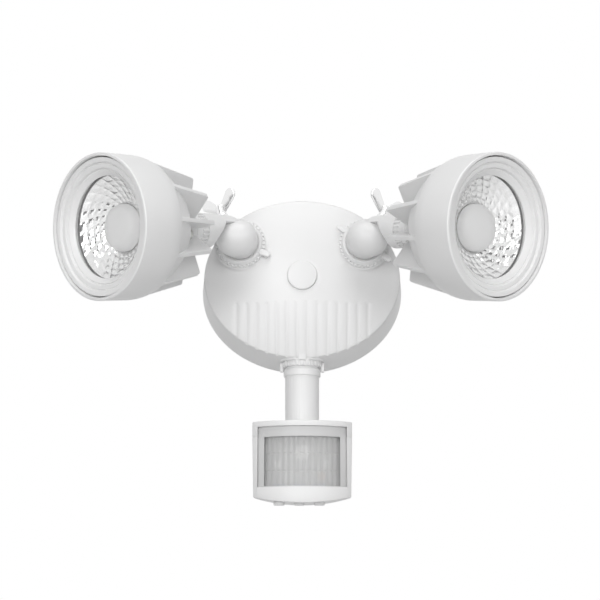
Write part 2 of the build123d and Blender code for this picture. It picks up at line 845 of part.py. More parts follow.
def sensor_hood():
    """Cap with a visor plate and two side skirts."""
    cap = sensor_column(0, skirt_bottom, hood_top)
    cap = fillet(cap.edges().group_by(Axis.Z)[-1], 0.8)
    cap -= sensor_column(sensor_wall + 0.3, skirt_bottom - 1, hood_underside)
    cap -= block(
        (-opening_half_width, opening_half_width),
        (-2 * sensor_front, -opening_back),
        (skirt_bottom - 1, hood_underside),
    )
    stem_hole = rod(stem_spigot_radius + running_clearance, hood_underside - 1, hood_top + 1)
    return cap - Pos(0, -stem_depth, 0) * stem_hole


def cover_screw_places():
    """Places of the four case screws, looking out of the wall."""
    offset = hood_half_width - cover_screw_inset
    heights = (skirt_bottom - 5, sensor_floor + 5)
    return [front_place(side * offset, height) for side in (-1, 1) for height in heights]


def circuit_screw_places():
    """Places of the two circuit board screws, looking out of the wall."""
    offset = circuit_half_width - circuit_screw_inset
    height = (circuit_top + circuit_bottom) / 2
    return [front_place(side * offset, height) for side in (-1, 1)]


def sensor_case():
    """Whole lower case before it is split into front and back."""
    outer = sensor_column(0, sensor_bottom - 1, skirt_bottom - seat_clearance) & sensor_front_view(0)
    lip = sensor_column(sensor_wall + 0.4, skirt_bottom - 1, hood_underside - seat_clearance)
    hollow = sensor_column(2 * sensor_wall, sensor_floor, hood_underside + 1)
    case = outer + lip - hollow
    opening = block(
        (-opening_half_width, opening_half_width),
        (-2 * sensor_front, -opening_back),
        (opening_bottom, hood_top),
    )
    return case - opening


def knob_positions():
    """Places of the three setting knobs under the sensor."""
    return [Pos(knob_centre + step * knob_pitch, -knob_depth, 0) for step in (-1, 0, 1)]


def sensor_housing(case):
    """Front part of the case with the window opening and the knob pockets."""
    far = 2 * sensor_front
    body = case & block((-far, far), (-far, -sensor_split - seat_clearance / 2), (-2 * far, 0))
    for place in cover_screw_places():
        body += place * rod(cover_boss_radius, sensor_split + seat_clearance / 2, opening_back)
        body -= place * rod(cover_screw_radius + running_clearance, sensor_split - 1, opening_back - 1)
    for place in knob_positions():
        body -= place * rod(knob_radius + 0.4, sensor_bottom - 1, pocket_top)
        body -= place * rod(knob_spindle_radius + 0.3, pocket_top - 1, sensor_floor + 1)
    return body


def sensor_back_cover(case):
    """Back part of the case with screw bosses and two board posts."""
    far = 2 * sensor_front
    body = case & block((-far, far), (-sensor_split + seat_clearance / 2, far), (-2 * far, 0))
    outer = sensor_column(0, sensor_bottom, skirt_bottom - seat_clearance) & sensor_front_view(0)
    for place in cover_screw_places():
        body += place * rod(cover_boss_radius, 0, sensor_split - seat_clearance / 2) & outer
    behind_wall = sensor_column(sensor_wall / 2, sensor_bottom, hood_top)
    for place in circuit_screw_places():
        body += place * rod(circuit_post_radius, 0, circuit_depth) & behind_wall
        body -= place * rod(circuit_screw_radius + running_clearance, circuit_depth - 8, circuit_depth + 1)
    for place in cover_screw_places():
        body -= place * rod(cover_screw_radius + 0.3, -1, sensor_split + 1)
        body -= place * rod(cover_screw_head_radius + 0.4, -1, cover_screw_seat)
    return body


def sensor_cover_screws():
    """Screws from behind that hold the case together."""
    tip = opening_back - 1.5
    screw = machine_screw(cover_screw_radius, cover_screw_head_radius, 1.8, cover_screw_seat, tip)
    return [place * screw for place in cover_screw_places()]


def sensor_front_frame():
    """Recessed frame around the window, bowed like the front."""
    back = frame_recess + frame_thickness
    frame = sensor_slab(
        frame_recess, back, opening_half_width - seat_clearance, opening_bottom + seat_clearance,
        hood_underside - seat_clearance,
    )
    far = 2 * sensor_front
    return frame - block((-window_half_width, window_half_width), (-far, 0), (window_bottom, window_top))


def fresnel_lens():
    """Thin bowed lens behind the frame."""
    front = frame_recess + frame_thickness + seat_clearance
    return sensor_slab(
        front, front + fresnel_thickness, window_half_width + fresnel_margin,
        window_bottom - 0.5, window_top + fresnel_margin,
    )


def sensor_stem():
    """Hollow stem with a threaded top, a shoulder bead and a spigot through the hood."""
    bead_bottom = bead_top - stem_bead_height
    bead = rod(stem_bead_radius, bead_bottom, bead_top)
    bead = fillet(bead.edges().sort_by(Axis.Z)[-1], 1.6)
    bead = fillet(bead.edges().sort_by(Axis.Z)[0], 0.8)
    stem = rod(thread_radius, bead_top - 1, sensor_boss_face + stem_boss_height - 1)
    stem += bead
    stem += cone(stem_radius - 0.15, stem_radius, hood_top + seat_clearance / 2, bead_bottom + 0.5)
    stem += rod(stem_spigot_radius, hood_underside - 4, hood_top + 1)
    stem -= rod(stem_spigot_radius - 1.4, hood_underside - 5, sensor_boss_face + stem_boss_height)
    return Pos(0, -stem_depth, 0) * stem


def stem_nut():
    """Hexagon nut that clamps the hood to the stem."""
    top = hood_underside - seat_clearance / 2
    hexagon = extrude(Pos(0, 0, top - 3.5) * RegularPolygon(stem_spigot_radius + 3.4, 6), amount=3.5)
    return Pos(0, -stem_depth, 0) * (hexagon - rod(stem_spigot_radius + running_clearance, top - 5, top + 1))


def sensor_lock_ring():
    """Notched ring with two ears that locks the stem's thread."""
    ring = rod(sensor_ring_radius, sensor_ring_bottom, sensor_boss_face)
    notch_radius = sensor_ring_radius + 0.2
    ring = notched(ring, sensor_ring_notches, notch_radius, sensor_ring_bottom + 0.6, sensor_boss_face - 0.5)
    drop = sensor_boss_face - sensor_ring_ear_drop
    reach = (sensor_ring_radius - 0.6, sensor_ring_ear_reach)
    ear = block(reach, (-1.4, 1.4), (drop, sensor_boss_face - 0.4))
    for copy in around(2, ear):
        ring += copy
    ring -= rod(thread_bore, sensor_ring_bottom - 1, sensor_boss_face + 1)
    return Pos(0, -stem_depth, 0) * ring


def sensor_board():
    """Circuit board across the sensor."""
    board = block(
        (-circuit_half_width, circuit_half_width),
        (-circuit_front, -circuit_depth),
        (circuit_bottom, circuit_top),
    )
    for place in circuit_screw_places():
        hole = rod(circuit_screw_radius + running_clearance, circuit_depth - 1, circuit_front + 1)
        board -= place * hole
    return board


def board_screws():
    """Two screws that hold the circuit board on its posts."""
    head_radius = 2 * circuit_screw_radius
    screw = machine_screw(circuit_screw_radius, head_radius, 1.5, circuit_front, circuit_depth - 7)
    return [place * screw for place in circuit_screw_places()]


def on_board(x_range, z_range, height):
    """Box that stands on the front of the circuit board."""
    return block(x_range, (-circuit_front - height, -circuit_front), z_range)


def pir_holder():
    """Small bracket with a column that carries the heat sensor."""
    half = pir_radius + 0.7
    holder = on_board((-half, half), (pir_height - half, pir_height + half), pir_stand)
    foot = sensor_floor + potentiometer_height + 0.4
    holder += on_board((-2.0, 2.0), (foot, pir_height - half + 0.1), pir_stand)
    return holder


def pir_element():
    """Round heat-sensing can on its holder."""
    face = circuit_front + pir_stand
    can = rod(pir_radius, face, face + 3.2) + rod(pir_radius + 0.5, face, face + 0.6)
    return front_place(0, pir_height) * (can - block((-2, 2), (-1.5, 1.5), (face + 2.9, face + 4)))


def photocell():
    """Daylight cell on the circuit board."""
    cell = rod(photocell_radius, circuit_front, circuit_front + 2.2)
    return front_place(photocell_x, photocell_height) * cell


def relay():
    """Switching relay at the top of the circuit board."""
    return on_board((-12.5, 3.7), (circuit_top - 4.3, circuit_top - 0.3), 9.0)


def potentiometers():
    """Three small adjusters on the floor of the case, above the knobs."""
    half = potentiometer_half_width
    body = block((-half, half), (-half, half), (sensor_floor, sensor_floor + potentiometer_height))
    body -= rod(knob_spindle_radius + running_clearance, sensor_floor - 1, sensor_floor + 4)
    return [place * body for place in knob_positions()]


def setting_knob(place):
    """Slotted setting knob with its spindle."""
    top = pocket_top - 0.3
    knob = rod(knob_radius, knob_bottom, top)
    knob = fillet(knob.edges().sort_by(Axis.Z)[0], 0.6)
    knob += rod(knob_spindle_radius, top - 0.01, sensor_floor + 3.6)
    knob -= block((-knob_radius, knob_radius), (-0.5, 0.5), (knob_bottom - 1, knob_bottom + 0.9))
    return place * knob


# ---------------------------------------------------------------- write the pieces
def save_canopy_group():
    """Everything that stays fixed on the wall."""
    save("canopy_shell", canopy_shell())
    save("wall_gasket", wall * ring_groove(0.0))
    save("mounting_bar", mounting_bar())
    centre = machine_screw(
        centre_screw_radius, centre_screw_head_radius, centre_screw_head_height, plug_floor, centre_screw_tip
    )
    save("centre_screw", wall * centre)
    save("centre_plug", centre_plug())
    ground = machine_screw(
        ground_screw_radius, ground_screw_head_radius, ground_screw_head_height, bar_thickness, 0.0
    )
    save("ground_screw", wall * Pos(ground_screw_offset, 0, 0) * ground)
    save("led_driver", led_driver())
    save("driver_screws", driver_screws())
    save("lamp_leads", [lamp_lead(-1), lamp_lead(1)])
    save("sensor_lead", sensor_lead())
    washer = tube(arm_gasket_radius, thread_bore, boss_face, ring_back)
    save("arm_gaskets", [front_place(side * arm_spacing / 2, arm_height) * washer for side in (-1, 1)])


def lamp_head_pieces():
    """Every piece of a lamp head in the head's own place, by name."""
    return {
        "knuckle": knuckle(),
        "neck_ring": neck_ring(),
        "head_housing": head_housing(),
        "bezel": bezel(),
        "lens": head_lens(),
        "lens_gasket": head_lens_gasket(),
        "reflector": reflector(),
        "diffuser": diffuser(),
        "led_board": led_board(),
        "led_emitter": led_emitter(),
        "rear_screws": rear_screws(),
    }


def save_lamp(name, side, lean, aim, ear_angle, turn, head_pieces):
    """One arm with its lamp head, whose housing stops at its own turn on the neck's thread."""
    save(f"{name}_lock_ring", arm_lock_ring(side, ear_angle))
    save(f"{name}_elbow", elbow(side, lean))
    save(f"{name}_wing_screw", wing_screw(side, lean, side * wing_turn))
    place = head_place(side, lean, aim)
    for piece_name, piece in head_pieces.items():
        turned_place = place * Rot(0, 0, turn) if piece_name in ("head_housing", "rear_screws") else place
        if isinstance(piece, list):
            save(f"{name}_{piece_name}", [turned_place * one for one in piece])
        else:
            save(f"{name}_{piece_name}", turned_place * piece)


def save_sensor_group():
    """The stem and the motion sensor."""
    case = sensor_case()
    save("sensor_lock_ring", sensor_lock_ring())
    save("sensor_stem", sensor_stem())
    save("stem_nut", stem_nut())
    save("sensor_hood", sensor_hood())
    save("sensor_housing", sensor_housing(case))
    save("sensor_back_cover", sensor_back_cover(case))
    save("sensor_cover_screws", sensor_cover_screws())
    save("sensor_front_frame", sensor_front_frame())
    save("fresnel_lens", fresnel_lens())
    save("sensor_board", sensor_board())
    save("board_screws", board_screws())
    save("relay", relay())
    save("pir_holder", pir_holder())
    save("pir_element", pir_element())
    save("photocell", photocell())
    save("potentiometers", potentiometers())
    for name, place in zip(("time_knob", "sensitivity_knob", "light_level_knob"), knob_positions()):
        save(name, setting_knob(place))


os.makedirs("parts", exist_ok=True)
save_canopy_group()
lamp_head = lamp_head_pieces()
save_lamp("left", -1, left_lean, left_aim, left_ring_ear_angle, left_head_turn, lamp_head)
save_lamp("right", 1, right_lean, right_aim, right_ring_ear_angle, right_head_turn, lamp_head)
save_sensor_group()
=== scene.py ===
"""Finished look of a wall light: two finned lamp heads on swivel arms, and a motion sensor below.

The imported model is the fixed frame, and every piece here dresses or replaces one of its nodes. Names that
end in _mm hold millimetres, and all other lengths are metres. The light faces -Y from the wall plane Y = 0,
+Z is up, and +X is on the right of someone who faces it.
"""
from __future__ import annotations

import json
import logging
import math
from dataclasses import dataclass
from enum import Enum
from typing import Optional, Sequence

import bmesh
import bpy
from bmesh.types import BMesh, BMVert
from bpy.types import ID, Material, Mesh, NodeSocket, NodeTree, Object
from mathutils import Matrix, Vector

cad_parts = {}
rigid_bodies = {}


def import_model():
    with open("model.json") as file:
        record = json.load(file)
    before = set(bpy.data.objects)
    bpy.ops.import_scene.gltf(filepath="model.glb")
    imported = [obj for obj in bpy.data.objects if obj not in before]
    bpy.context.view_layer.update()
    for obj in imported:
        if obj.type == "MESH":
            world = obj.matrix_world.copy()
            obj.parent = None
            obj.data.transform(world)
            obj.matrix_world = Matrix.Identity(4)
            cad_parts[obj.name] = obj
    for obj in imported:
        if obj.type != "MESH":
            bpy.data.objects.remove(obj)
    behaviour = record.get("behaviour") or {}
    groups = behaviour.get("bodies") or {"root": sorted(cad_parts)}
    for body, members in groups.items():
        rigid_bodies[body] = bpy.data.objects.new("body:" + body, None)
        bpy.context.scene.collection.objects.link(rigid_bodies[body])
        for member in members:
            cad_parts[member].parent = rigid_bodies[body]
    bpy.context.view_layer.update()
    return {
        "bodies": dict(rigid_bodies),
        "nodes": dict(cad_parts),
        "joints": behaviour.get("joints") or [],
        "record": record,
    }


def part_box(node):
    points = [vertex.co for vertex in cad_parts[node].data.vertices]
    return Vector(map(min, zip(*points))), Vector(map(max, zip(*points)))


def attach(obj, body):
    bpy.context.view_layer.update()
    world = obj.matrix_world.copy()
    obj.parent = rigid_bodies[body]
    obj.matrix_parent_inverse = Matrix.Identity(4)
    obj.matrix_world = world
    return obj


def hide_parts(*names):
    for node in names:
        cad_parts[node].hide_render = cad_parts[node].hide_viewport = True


MM = 0.001
WELD = 2e-6
COARSE_WELD = 2e-5
FLAT_ANGLE = 0.5
SHARP_ANGLE = 32.0
BROAD_SCALE = 45.0
MOTTLE_SCALE = 30.0
ROUGHNESS_SPREAD = 0.3
BUMP_STRENGTH = 0.6
GLANCE_BLEND = 0.25
OUT_OF_WALL = Matrix(((1, 0, 0, 0), (0, 0, -1, 0), (0, 1, 0, 0), (0, 0, 0, 1)))
LOG = logging.getLogger("wall_light")
Corner = tuple[float, float, float]
Point = tuple[float, float]
Socket = tuple[str, str]
Lamp = tuple[str, tuple[float, float, float], float, float]


class Side(Enum):
    """Which of the two lamps a piece belongs to."""

    LEFT = "left"
    RIGHT = "right"

    @property
    def sign(self) -> int:
        """Side of the canopy along X."""
        return -1 if self is Side.LEFT else 1


# ---------------------------------------------------------------- mesh tools
def rounded(corners: Sequence[Corner], steps: int = 4) -> list[Point]:
    """Outline in millimetres with its corners rounded.

    Args:
        corners: Radius, height and rounding radius of each corner.
        steps: Straight runs in each rounded corner.

    Returns:
        Points of the outline, in order.
    """
    points: list[Point] = []
    last = len(corners) - 1
    for index, (x, y, radius) in enumerate(corners):
        if radius <= 0 or index in (0, last):
            points.append((x, y))
            continue
        corner = Vector((x, y))
        before = Vector(corners[index - 1][:2]) - corner
        after = Vector(corners[index + 1][:2]) - corner
        angle = before.angle(after)
        reach = min(radius / math.tan(angle / 2), before.length * 0.49, after.length * 0.49)
        start = corner + before.normalized() * reach
        end = corner + after.normalized() * reach
        for step in range(steps + 1):
            share = step / steps
            point = start.lerp(corner, share).lerp(corner.lerp(end, share), share)
            points.append((point.x, point.y))
    return points


def lathe(points: Sequence[Point], segments: int = 144, closed: bool = True) -> BMesh:
    """Body of revolution about local Z.

    Args:
        points: Radius and height of each ring in millimetres. A radius of nought makes a pole.
        segments: Faces around the axis.
        closed: Whether the last ring joins the first.

    Returns:
        The new mesh, in metres, with its normals outward.
    """
    body = bmesh.new()
    rings = []
    for radius, height in points:
        if radius < 1e-4:
            rings.append([body.verts.new((0, 0, height * MM))])
            continue
        turns = [2 * math.pi * step / segments for step in range(segments)]
        rings.append([
            body.verts.new((radius * MM * math.cos(turn), radius * MM * math.sin(turn), height * MM))
            for turn in turns
        ])
    pairs = list(zip(rings, rings[1:]))
    if closed:
        pairs.append((rings[-1], rings[0]))
    for lower, upper in pairs:
        for step in range(segments):
            following = (step + 1) % segments
            ring = [lower[step % len(lower)], lower[following % len(lower)],
                    upper[following % len(upper)], upper[step % len(upper)]]
            corners = list(dict.fromkeys(ring))
            if len(corners) > 2:
                body.faces.new(corners)
    bmesh.ops.recalc_face_normals(body, faces=body.faces)
    return body


def plate(outline: Sequence[Point], thickness_mm: float) -> BMesh:
    """Flat plate about the plane Y = 0 from an outline in X and Z.

    Args:
        outline: Corners in millimetres.
        thickness_mm: Thickness across the plane.

    Returns:
        The closed plate, in metres.
    """
    body = bmesh.new()
    half = thickness_mm / 2 * MM
    front = [body.verts.new((x * MM, -half, z * MM)) for x, z in outline]
    back = [body.verts.new((x * MM, half, z * MM)) for x, z in outline]
    body.faces.new(front)
    body.faces.new(list(reversed(back)))
    for index in range(len(outline)):
        following = (index + 1) % len(outline)
        body.faces.new((front[index], back[index], back[following], front[following]))
    bmesh.ops.recalc_face_normals(body, faces=body.faces)
    return body


def block(near_mm: float, far_mm: float, width_mm: float, low_mm: float, high_mm: float) -> BMesh:
    """Box that stands off local Z along X, such as one tooth of a ring.

    Args:
        near_mm: Radius of its inner face.
        far_mm: Radius of its outer face.
        width_mm: Width along Y.
        low_mm: Height of its lower face.
        high_mm: Height of its upper face.

    Returns:
        The box, in metres.
    """
    body = bmesh.new()
    bmesh.ops.create_cube(body, size=1.0)
    for vertex in body.verts:
        reach = far_mm if vertex.co.x > 0 else near_mm
        level = high_mm if vertex.co.z > 0 else low_mm
        vertex.co = Vector((reach, vertex.co.y * width_mm, level)) * MM
    return body


def soften(body: BMesh, width_mm: float, segments: int = 2) -> BMesh:
    """Round the sharp edges of a mesh in place.

    Args:
        body: Mesh to change.
        width_mm: Width of the rounding.
        segments: Faces across the rounding.

    Returns:
        The same mesh.
    """
    limit = math.radians(SHARP_ANGLE)
    edges = [edge for edge in body.edges if edge.is_manifold and edge.calc_face_angle(0.0) > limit]
    bmesh.ops.bevel(
        body, geom=edges, offset=width_mm * MM, offset_type="OFFSET", segments=segments, profile=0.5,
        affect="EDGES", clamp_overlap=True,
    )
    return body


def to_mesh(name: str, body: BMesh) -> Mesh:
    """Turn an edit mesh into mesh data, and free it."""
    mesh = bpy.data.meshes.new(name)
    body.to_mesh(mesh)
    body.free()
    return mesh


def gathered(meshes: Sequence[Mesh]) -> BMesh:
    """Put several meshes into one edit mesh, and remove them."""
    body = bmesh.new()
    for mesh in meshes:
        body.from_mesh(mesh)
        bpy.data.meshes.remove(mesh)
    return body


def placed(name: str, data: ID) -> Object:
    """New object in the scene."""
    made = bpy.data.objects.new(name, data)
    bpy.context.scene.collection.objects.link(made)
    return made


def joined(name: str, meshes: Sequence[Mesh]) -> Mesh:
    """Put several meshes into one, and remove them."""
    return to_mesh(name, gathered(meshes))


def grid_faces(rows: Sequence[Sequence[BMVert]], body: BMesh) -> None:
    """Fill a grid of vertices with four-sided faces."""
    for lower, upper in zip(rows, rows[1:]):
        for index in range(len(lower) - 1):
            body.faces.new((lower[index], lower[index + 1], upper[index + 1], upper[index]))


# ---------------------------------------------------------------- node tools
def node_group(name: str, kind: str, inputs: Sequence[Socket], outputs: Sequence[Socket]) -> NodeTree:
    """Empty node group with named sockets.

    Args:
        name: Name of the group.
        kind: Kind of tree.
        inputs: Name and kind of each input.
        outputs: Name and kind of each output.

    Returns:
        The group with its input and output nodes.
    """
    group = bpy.data.node_groups.new(name, kind)
    for way, sockets in (("INPUT", inputs), ("OUTPUT", outputs)):
        for socket, value in sockets:
            group.interface.new_socket(socket, in_out=way, socket_type=f"NodeSocket{value}")
    group.nodes.new("NodeGroupInput")
    group.nodes.new("NodeGroupOutput")
    return group


def arithmetic(tree: NodeTree, operation: str, *values: NodeSocket | float) -> NodeSocket:
    """Math node fed by sockets and plain numbers.

    Args:
        tree: Node tree that gets the node.
        operation: What the node works out.
        values: Its inputs, in order.

    Returns:
        Output socket of the node.
    """
    node = tree.nodes.new("ShaderNodeMath")
    node.operation = operation
    for socket, value in zip(node.inputs, values):
        if isinstance(value, NodeSocket):
            tree.links.new(value, socket)
        else:
            socket.default_value = value
    return node.outputs[0]


# ---------------------------------------------------------------- repeated forms
class Repeater:
    """Geometry tree that repeats one form around local Z."""

    def __init__(self) -> None:
        """Build the tree once."""
        self.tree = self._build()

    @staticmethod
    def _build() -> NodeTree:
        """Make the tree with its named inputs."""
        tree = node_group(
            "repeated_form",
            "GeometryNodeTree",
            [("Form", "Geometry"), ("Count", "Int"), ("Turn", "Float"), ("First turn", "Float"),
             ("Finish", "Material")],
            [("Geometry", "Geometry")],
        )
        node, link = tree.nodes.new, tree.links.new
        inputs, outputs = tree.nodes["Group Input"], tree.nodes["Group Output"]
        index = node("GeometryNodeInputIndex")
        points = node("GeometryNodePoints")
        link(inputs.outputs["Count"], points.inputs["Count"])
        turns = inputs.outputs["Turn"], inputs.outputs["First turn"]
        about = node("ShaderNodeCombineXYZ")
        link(arithmetic(tree, "MULTIPLY_ADD", index.outputs[0], *turns), about.inputs["Z"])
        copies = node("GeometryNodeInstanceOnPoints")
        link(points.outputs[0], copies.inputs["Points"])
        link(inputs.outputs["Form"], copies.inputs["Instance"])
        link(about.outputs[0], copies.inputs["Rotation"])
        real = node("GeometryNodeRealizeInstances")
        link(copies.outputs[0], real.inputs[0])
        finish = node("GeometryNodeSetMaterial")
        link(real.outputs[0], finish.inputs["Geometry"])
        link(inputs.outputs["Finish"], finish.inputs["Material"])
        link(finish.outputs[0], outputs.inputs[0])
        return tree

    def around(self, form: BMesh, count: int, finish: Material, first_turn: float = 0.0) -> Mesh:
        """Repeat a form evenly around local Z and return the plain mesh.

        Args:
            form: Mesh of one form, which is freed.
            count: Number of forms.
            finish: Material of the forms.
            first_turn: Turn of the first form, in radians.

        Returns:
            Mesh of all the forms.
        """
        holder = placed("repeat_holder", to_mesh("repeat_form", form))
        modifier = holder.modifiers.new("repeat", "NODES")
        modifier.node_group = self.tree
        values = {"Count": count, "Turn": 2 * math.pi / count, "First turn": first_turn, "Finish": finish}
        for item in self.tree.interface.items_tree:
            if item.in_out == "INPUT" and item.name in values:
                modifier[item.identifier] = values[item.name]
        evaluated = holder.evaluated_get(bpy.context.evaluated_depsgraph_get())
        mesh = bpy.data.meshes.new_from_object(evaluated)
        holder.modifiers.remove(modifier)
        form_mesh = holder.data
        bpy.data.objects.remove(holder)
        bpy.data.meshes.remove(form_mesh)
        return mesh


# ---------------------------------------------------------------- finishes
class Effects:
    """Shader groups that several finishes share."""

    def __init__(self) -> None:
        """Build each group once."""
        self.grain = self._grain()
        self.mottle = self._mottle()

    @staticmethod
    def _grain() -> NodeTree:
        """Fine skin of paint or moulded plastic: a height and a varied roughness."""
        group = node_group(
            "surface_grain",
            "ShaderNodeTree",
            [("Vector", "Vector"), ("Scale", "Float"), ("Roughness", "Float"), ("Spread", "Float")],
            [("Height", "Float"), ("Roughness", "Float")],
        )
        node, link = group.nodes.new, group.links.new
        inputs, outputs = group.nodes["Group Input"], group.nodes["Group Output"]
        fine = node("ShaderNodeTexNoise")
        fine.inputs["Detail"].default_value = 3.0
        link(inputs.outputs["Vector"], fine.inputs["Vector"])
        link(inputs.outputs["Scale"], fine.inputs["Scale"])
        broad = node("ShaderNodeTexNoise")
        broad.inputs["Scale"].default_value = BROAD_SCALE
        link(inputs.outputs["Vector"], broad.inputs["Vector"])
        centred = arithmetic(group, "SUBTRACT", broad.outputs["Fac"], 0.5)
        around = inputs.outputs["Spread"], inputs.outputs["Roughness"]
        link(fine.outputs["Fac"], outputs.inputs["Height"])
        link(arithmetic(group, "MULTIPLY_ADD", centred, *around), outputs.inputs["Roughness"])
        return group

    @staticmethod
    def _mottle() -> NodeTree:
        """Slight cloudiness of a colour."""
        group = node_group(
            "soft_mottle",
            "ShaderNodeTree",
            [("Vector", "Vector"), ("Colour", "Color"), ("Scale", "Float"), ("Amount", "Float")],
            [("Colour", "Color")],
        )
        node, link = group.nodes.new, group.links.new
        inputs, outputs = group.nodes["Group Input"], group.nodes["Group Output"]
        cloud = node("ShaderNodeTexNoise")
        cloud.inputs["Detail"].default_value = 2.0
        link(inputs.outputs["Vector"], cloud.inputs["Vector"])
        link(inputs.outputs["Scale"], cloud.inputs["Scale"])
        shade = arithmetic(group, "MULTIPLY", cloud.outputs["Fac"], inputs.outputs["Amount"])
        scaled = node("ShaderNodeVectorMath")
        scaled.operation = "SCALE"
        link(inputs.outputs["Colour"], scaled.inputs[0])
        link(arithmetic(group, "SUBTRACT", 1.0, shade), scaled.inputs["Scale"])
        link(scaled.outputs[0], outputs.inputs["Colour"])
        return group


@dataclass(frozen=True)
class Finish:
    """One procedural finish.

    Attributes:
        slot: Material slot of the record that it stands for.
        colour: Linear base colour.
        roughness: Mean roughness.
        metallic: 1 for bare metal.
        grain: Scale of the fine skin.
        depth_mm: Height of the fine skin.
        mottle: Share by which the colour darkens in clouds.
        coat: Weight of a clear coat.
        alpha: Opacity where the surface is seen square on.
        edge_alpha: Opacity added where it is seen at a glancing angle.
        ior: Index of refraction.
    """

    slot: str
    colour: tuple[float, float, float]
    roughness: float
    metallic: float = 0.0
    grain: float = 900.0
    depth_mm: float = 0.02
    mottle: float = 0.03
    coat: float = 0.0
    alpha: float = 1.0
    edge_alpha: float = 0.0
    ior: float = 1.5

    def build(self, effects: Effects) -> Material:
        """Make the material.

        Args:
            effects: Shared shader groups.

        Returns:
            The finished material.
        """
        material = bpy.data.materials.new(self.slot)
        material.use_nodes = True
        node, link = material.node_tree.nodes.new, material.node_tree.links.new
        shader = material.node_tree.nodes["Principled BSDF"]
        shader.inputs["Metallic"].default_value = self.metallic
        shader.inputs["Coat Weight"].default_value = self.coat
        shader.inputs["IOR"].default_value = self.ior
        place = node("ShaderNodeTexCoord")
        mottle = node("ShaderNodeGroup")
        mottle.node_tree = effects.mottle
        mottle.inputs["Colour"].default_value = (*self.colour, 1.0)
        mottle.inputs["Scale"].default_value = MOTTLE_SCALE
        mottle.inputs["Amount"].default_value = self.mottle
        link(place.outputs["Object"], mottle.inputs["Vector"])
        link(mottle.outputs["Colour"], shader.inputs["Base Color"])
        grain = node("ShaderNodeGroup")
        grain.node_tree = effects.grain
        grain.inputs["Scale"].default_value = self.grain
        grain.inputs["Roughness"].default_value = self.roughness
        grain.inputs["Spread"].default_value = self.roughness * ROUGHNESS_SPREAD
        link(place.outputs["Object"], grain.inputs["Vector"])
        link(grain.outputs["Roughness"], shader.inputs["Roughness"])
        bump = node("ShaderNodeBump")
        bump.inputs["Strength"].default_value = BUMP_STRENGTH
        bump.inputs["Distance"].default_value = self.depth_mm * MM
        link(grain.outputs["Height"], bump.inputs["Height"])
        link(bump.outputs["Normal"], shader.inputs["Normal"])
        if self.alpha < 1.0:
            glance = node("ShaderNodeLayerWeight")
            glance.inputs["Blend"].default_value = GLANCE_BLEND
            values = glance.outputs["Facing"], self.edge_alpha, self.alpha
            opacity = arithmetic(material.node_tree, "MULTIPLY_ADD", *values)
            opacity.node.use_clamp = True
            link(opacity, shader.inputs["Alpha"])
        return material


class Shade(Enum):
    """Every finish on the light."""

    PAINT = Finish("white_paint", (0.84, 0.84, 0.84), 0.34, grain=700.0, depth_mm=0.03, mottle=0.02)
    PLASTIC = Finish("white_plastic", (0.84, 0.84, 0.84), 0.38, grain=1400.0, depth_mm=0.015, mottle=0.02)
    BEZEL = Finish("bezel_paint", (0.85, 0.85, 0.85), 0.30, grain=700.0, depth_mm=0.02, mottle=0.02)
    FRAME = Finish("frame_plastic", (0.66, 0.66, 0.66), 0.42, grain=1400.0, depth_mm=0.02)
    ZINC = Finish("zinc_steel", (0.62, 0.62, 0.60), 0.32, metallic=1.0, depth_mm=0.01, mottle=0.08)
    WING = Finish("wing_screw_steel", (0.86, 0.86, 0.86), 0.16, metallic=1.0, depth_mm=0.004, mottle=0.02)
    GREEN = Finish("green_steel", (0.05, 0.30, 0.10), 0.35, metallic=0.6, depth_mm=0.01)
    DRIVER = Finish("driver_case", (0.035, 0.035, 0.037), 0.55, depth_mm=0.04)
    SHEATH = Finish("cable_sheath", (0.70, 0.70, 0.67), 0.55, depth_mm=0.03)
    # Near-black rubber; on the lens seal this black is also a painted shadow line along the window's edge.
    RUBBER_AND_SHADOW_LINE = Finish("gasket_rubber", (0.05, 0.05, 0.05), 0.7, depth_mm=0.05)
    GLASS = Finish(
        "clear_glass", (0.95, 0.95, 0.95), 0.03, depth_mm=0.0, mottle=0.0, alpha=0.03, edge_alpha=0.4
    )
    MIRROR = Finish("bright_reflector", (0.86, 0.86, 0.86), 0.09, metallic=1.0, depth_mm=0.004, mottle=0.05)
    FROST = Finish("frosted_plastic", (0.88, 0.88, 0.88), 0.45, grain=1500.0, depth_mm=0.10, mottle=0.04)
    LED_BOARD = Finish("led_board_white", (0.78, 0.78, 0.77), 0.4)
    PHOSPHOR = Finish("phosphor", (0.85, 0.62, 0.10), 0.6)
    LENS = Finish("lens_plastic", (0.80, 0.80, 0.80), 0.22, grain=500.0, alpha=0.45, edge_alpha=0.35)
    BOARD = Finish("circuit_board", (0.52, 0.53, 0.52), 0.4)
    RELAY = Finish("relay_plastic", (0.16, 0.16, 0.17), 0.45)
    HOLDER = Finish("holder_plastic", (0.34, 0.34, 0.34), 0.5)
    CAN = Finish("sensor_can", (0.40, 0.40, 0.39), 0.25, metallic=1.0, depth_mm=0.005)
    CELL = Finish("photocell_resin", (0.62, 0.40, 0.24), 0.2)
    ADJUSTER = Finish("adjuster_plastic", (0.10, 0.18, 0.42), 0.45)


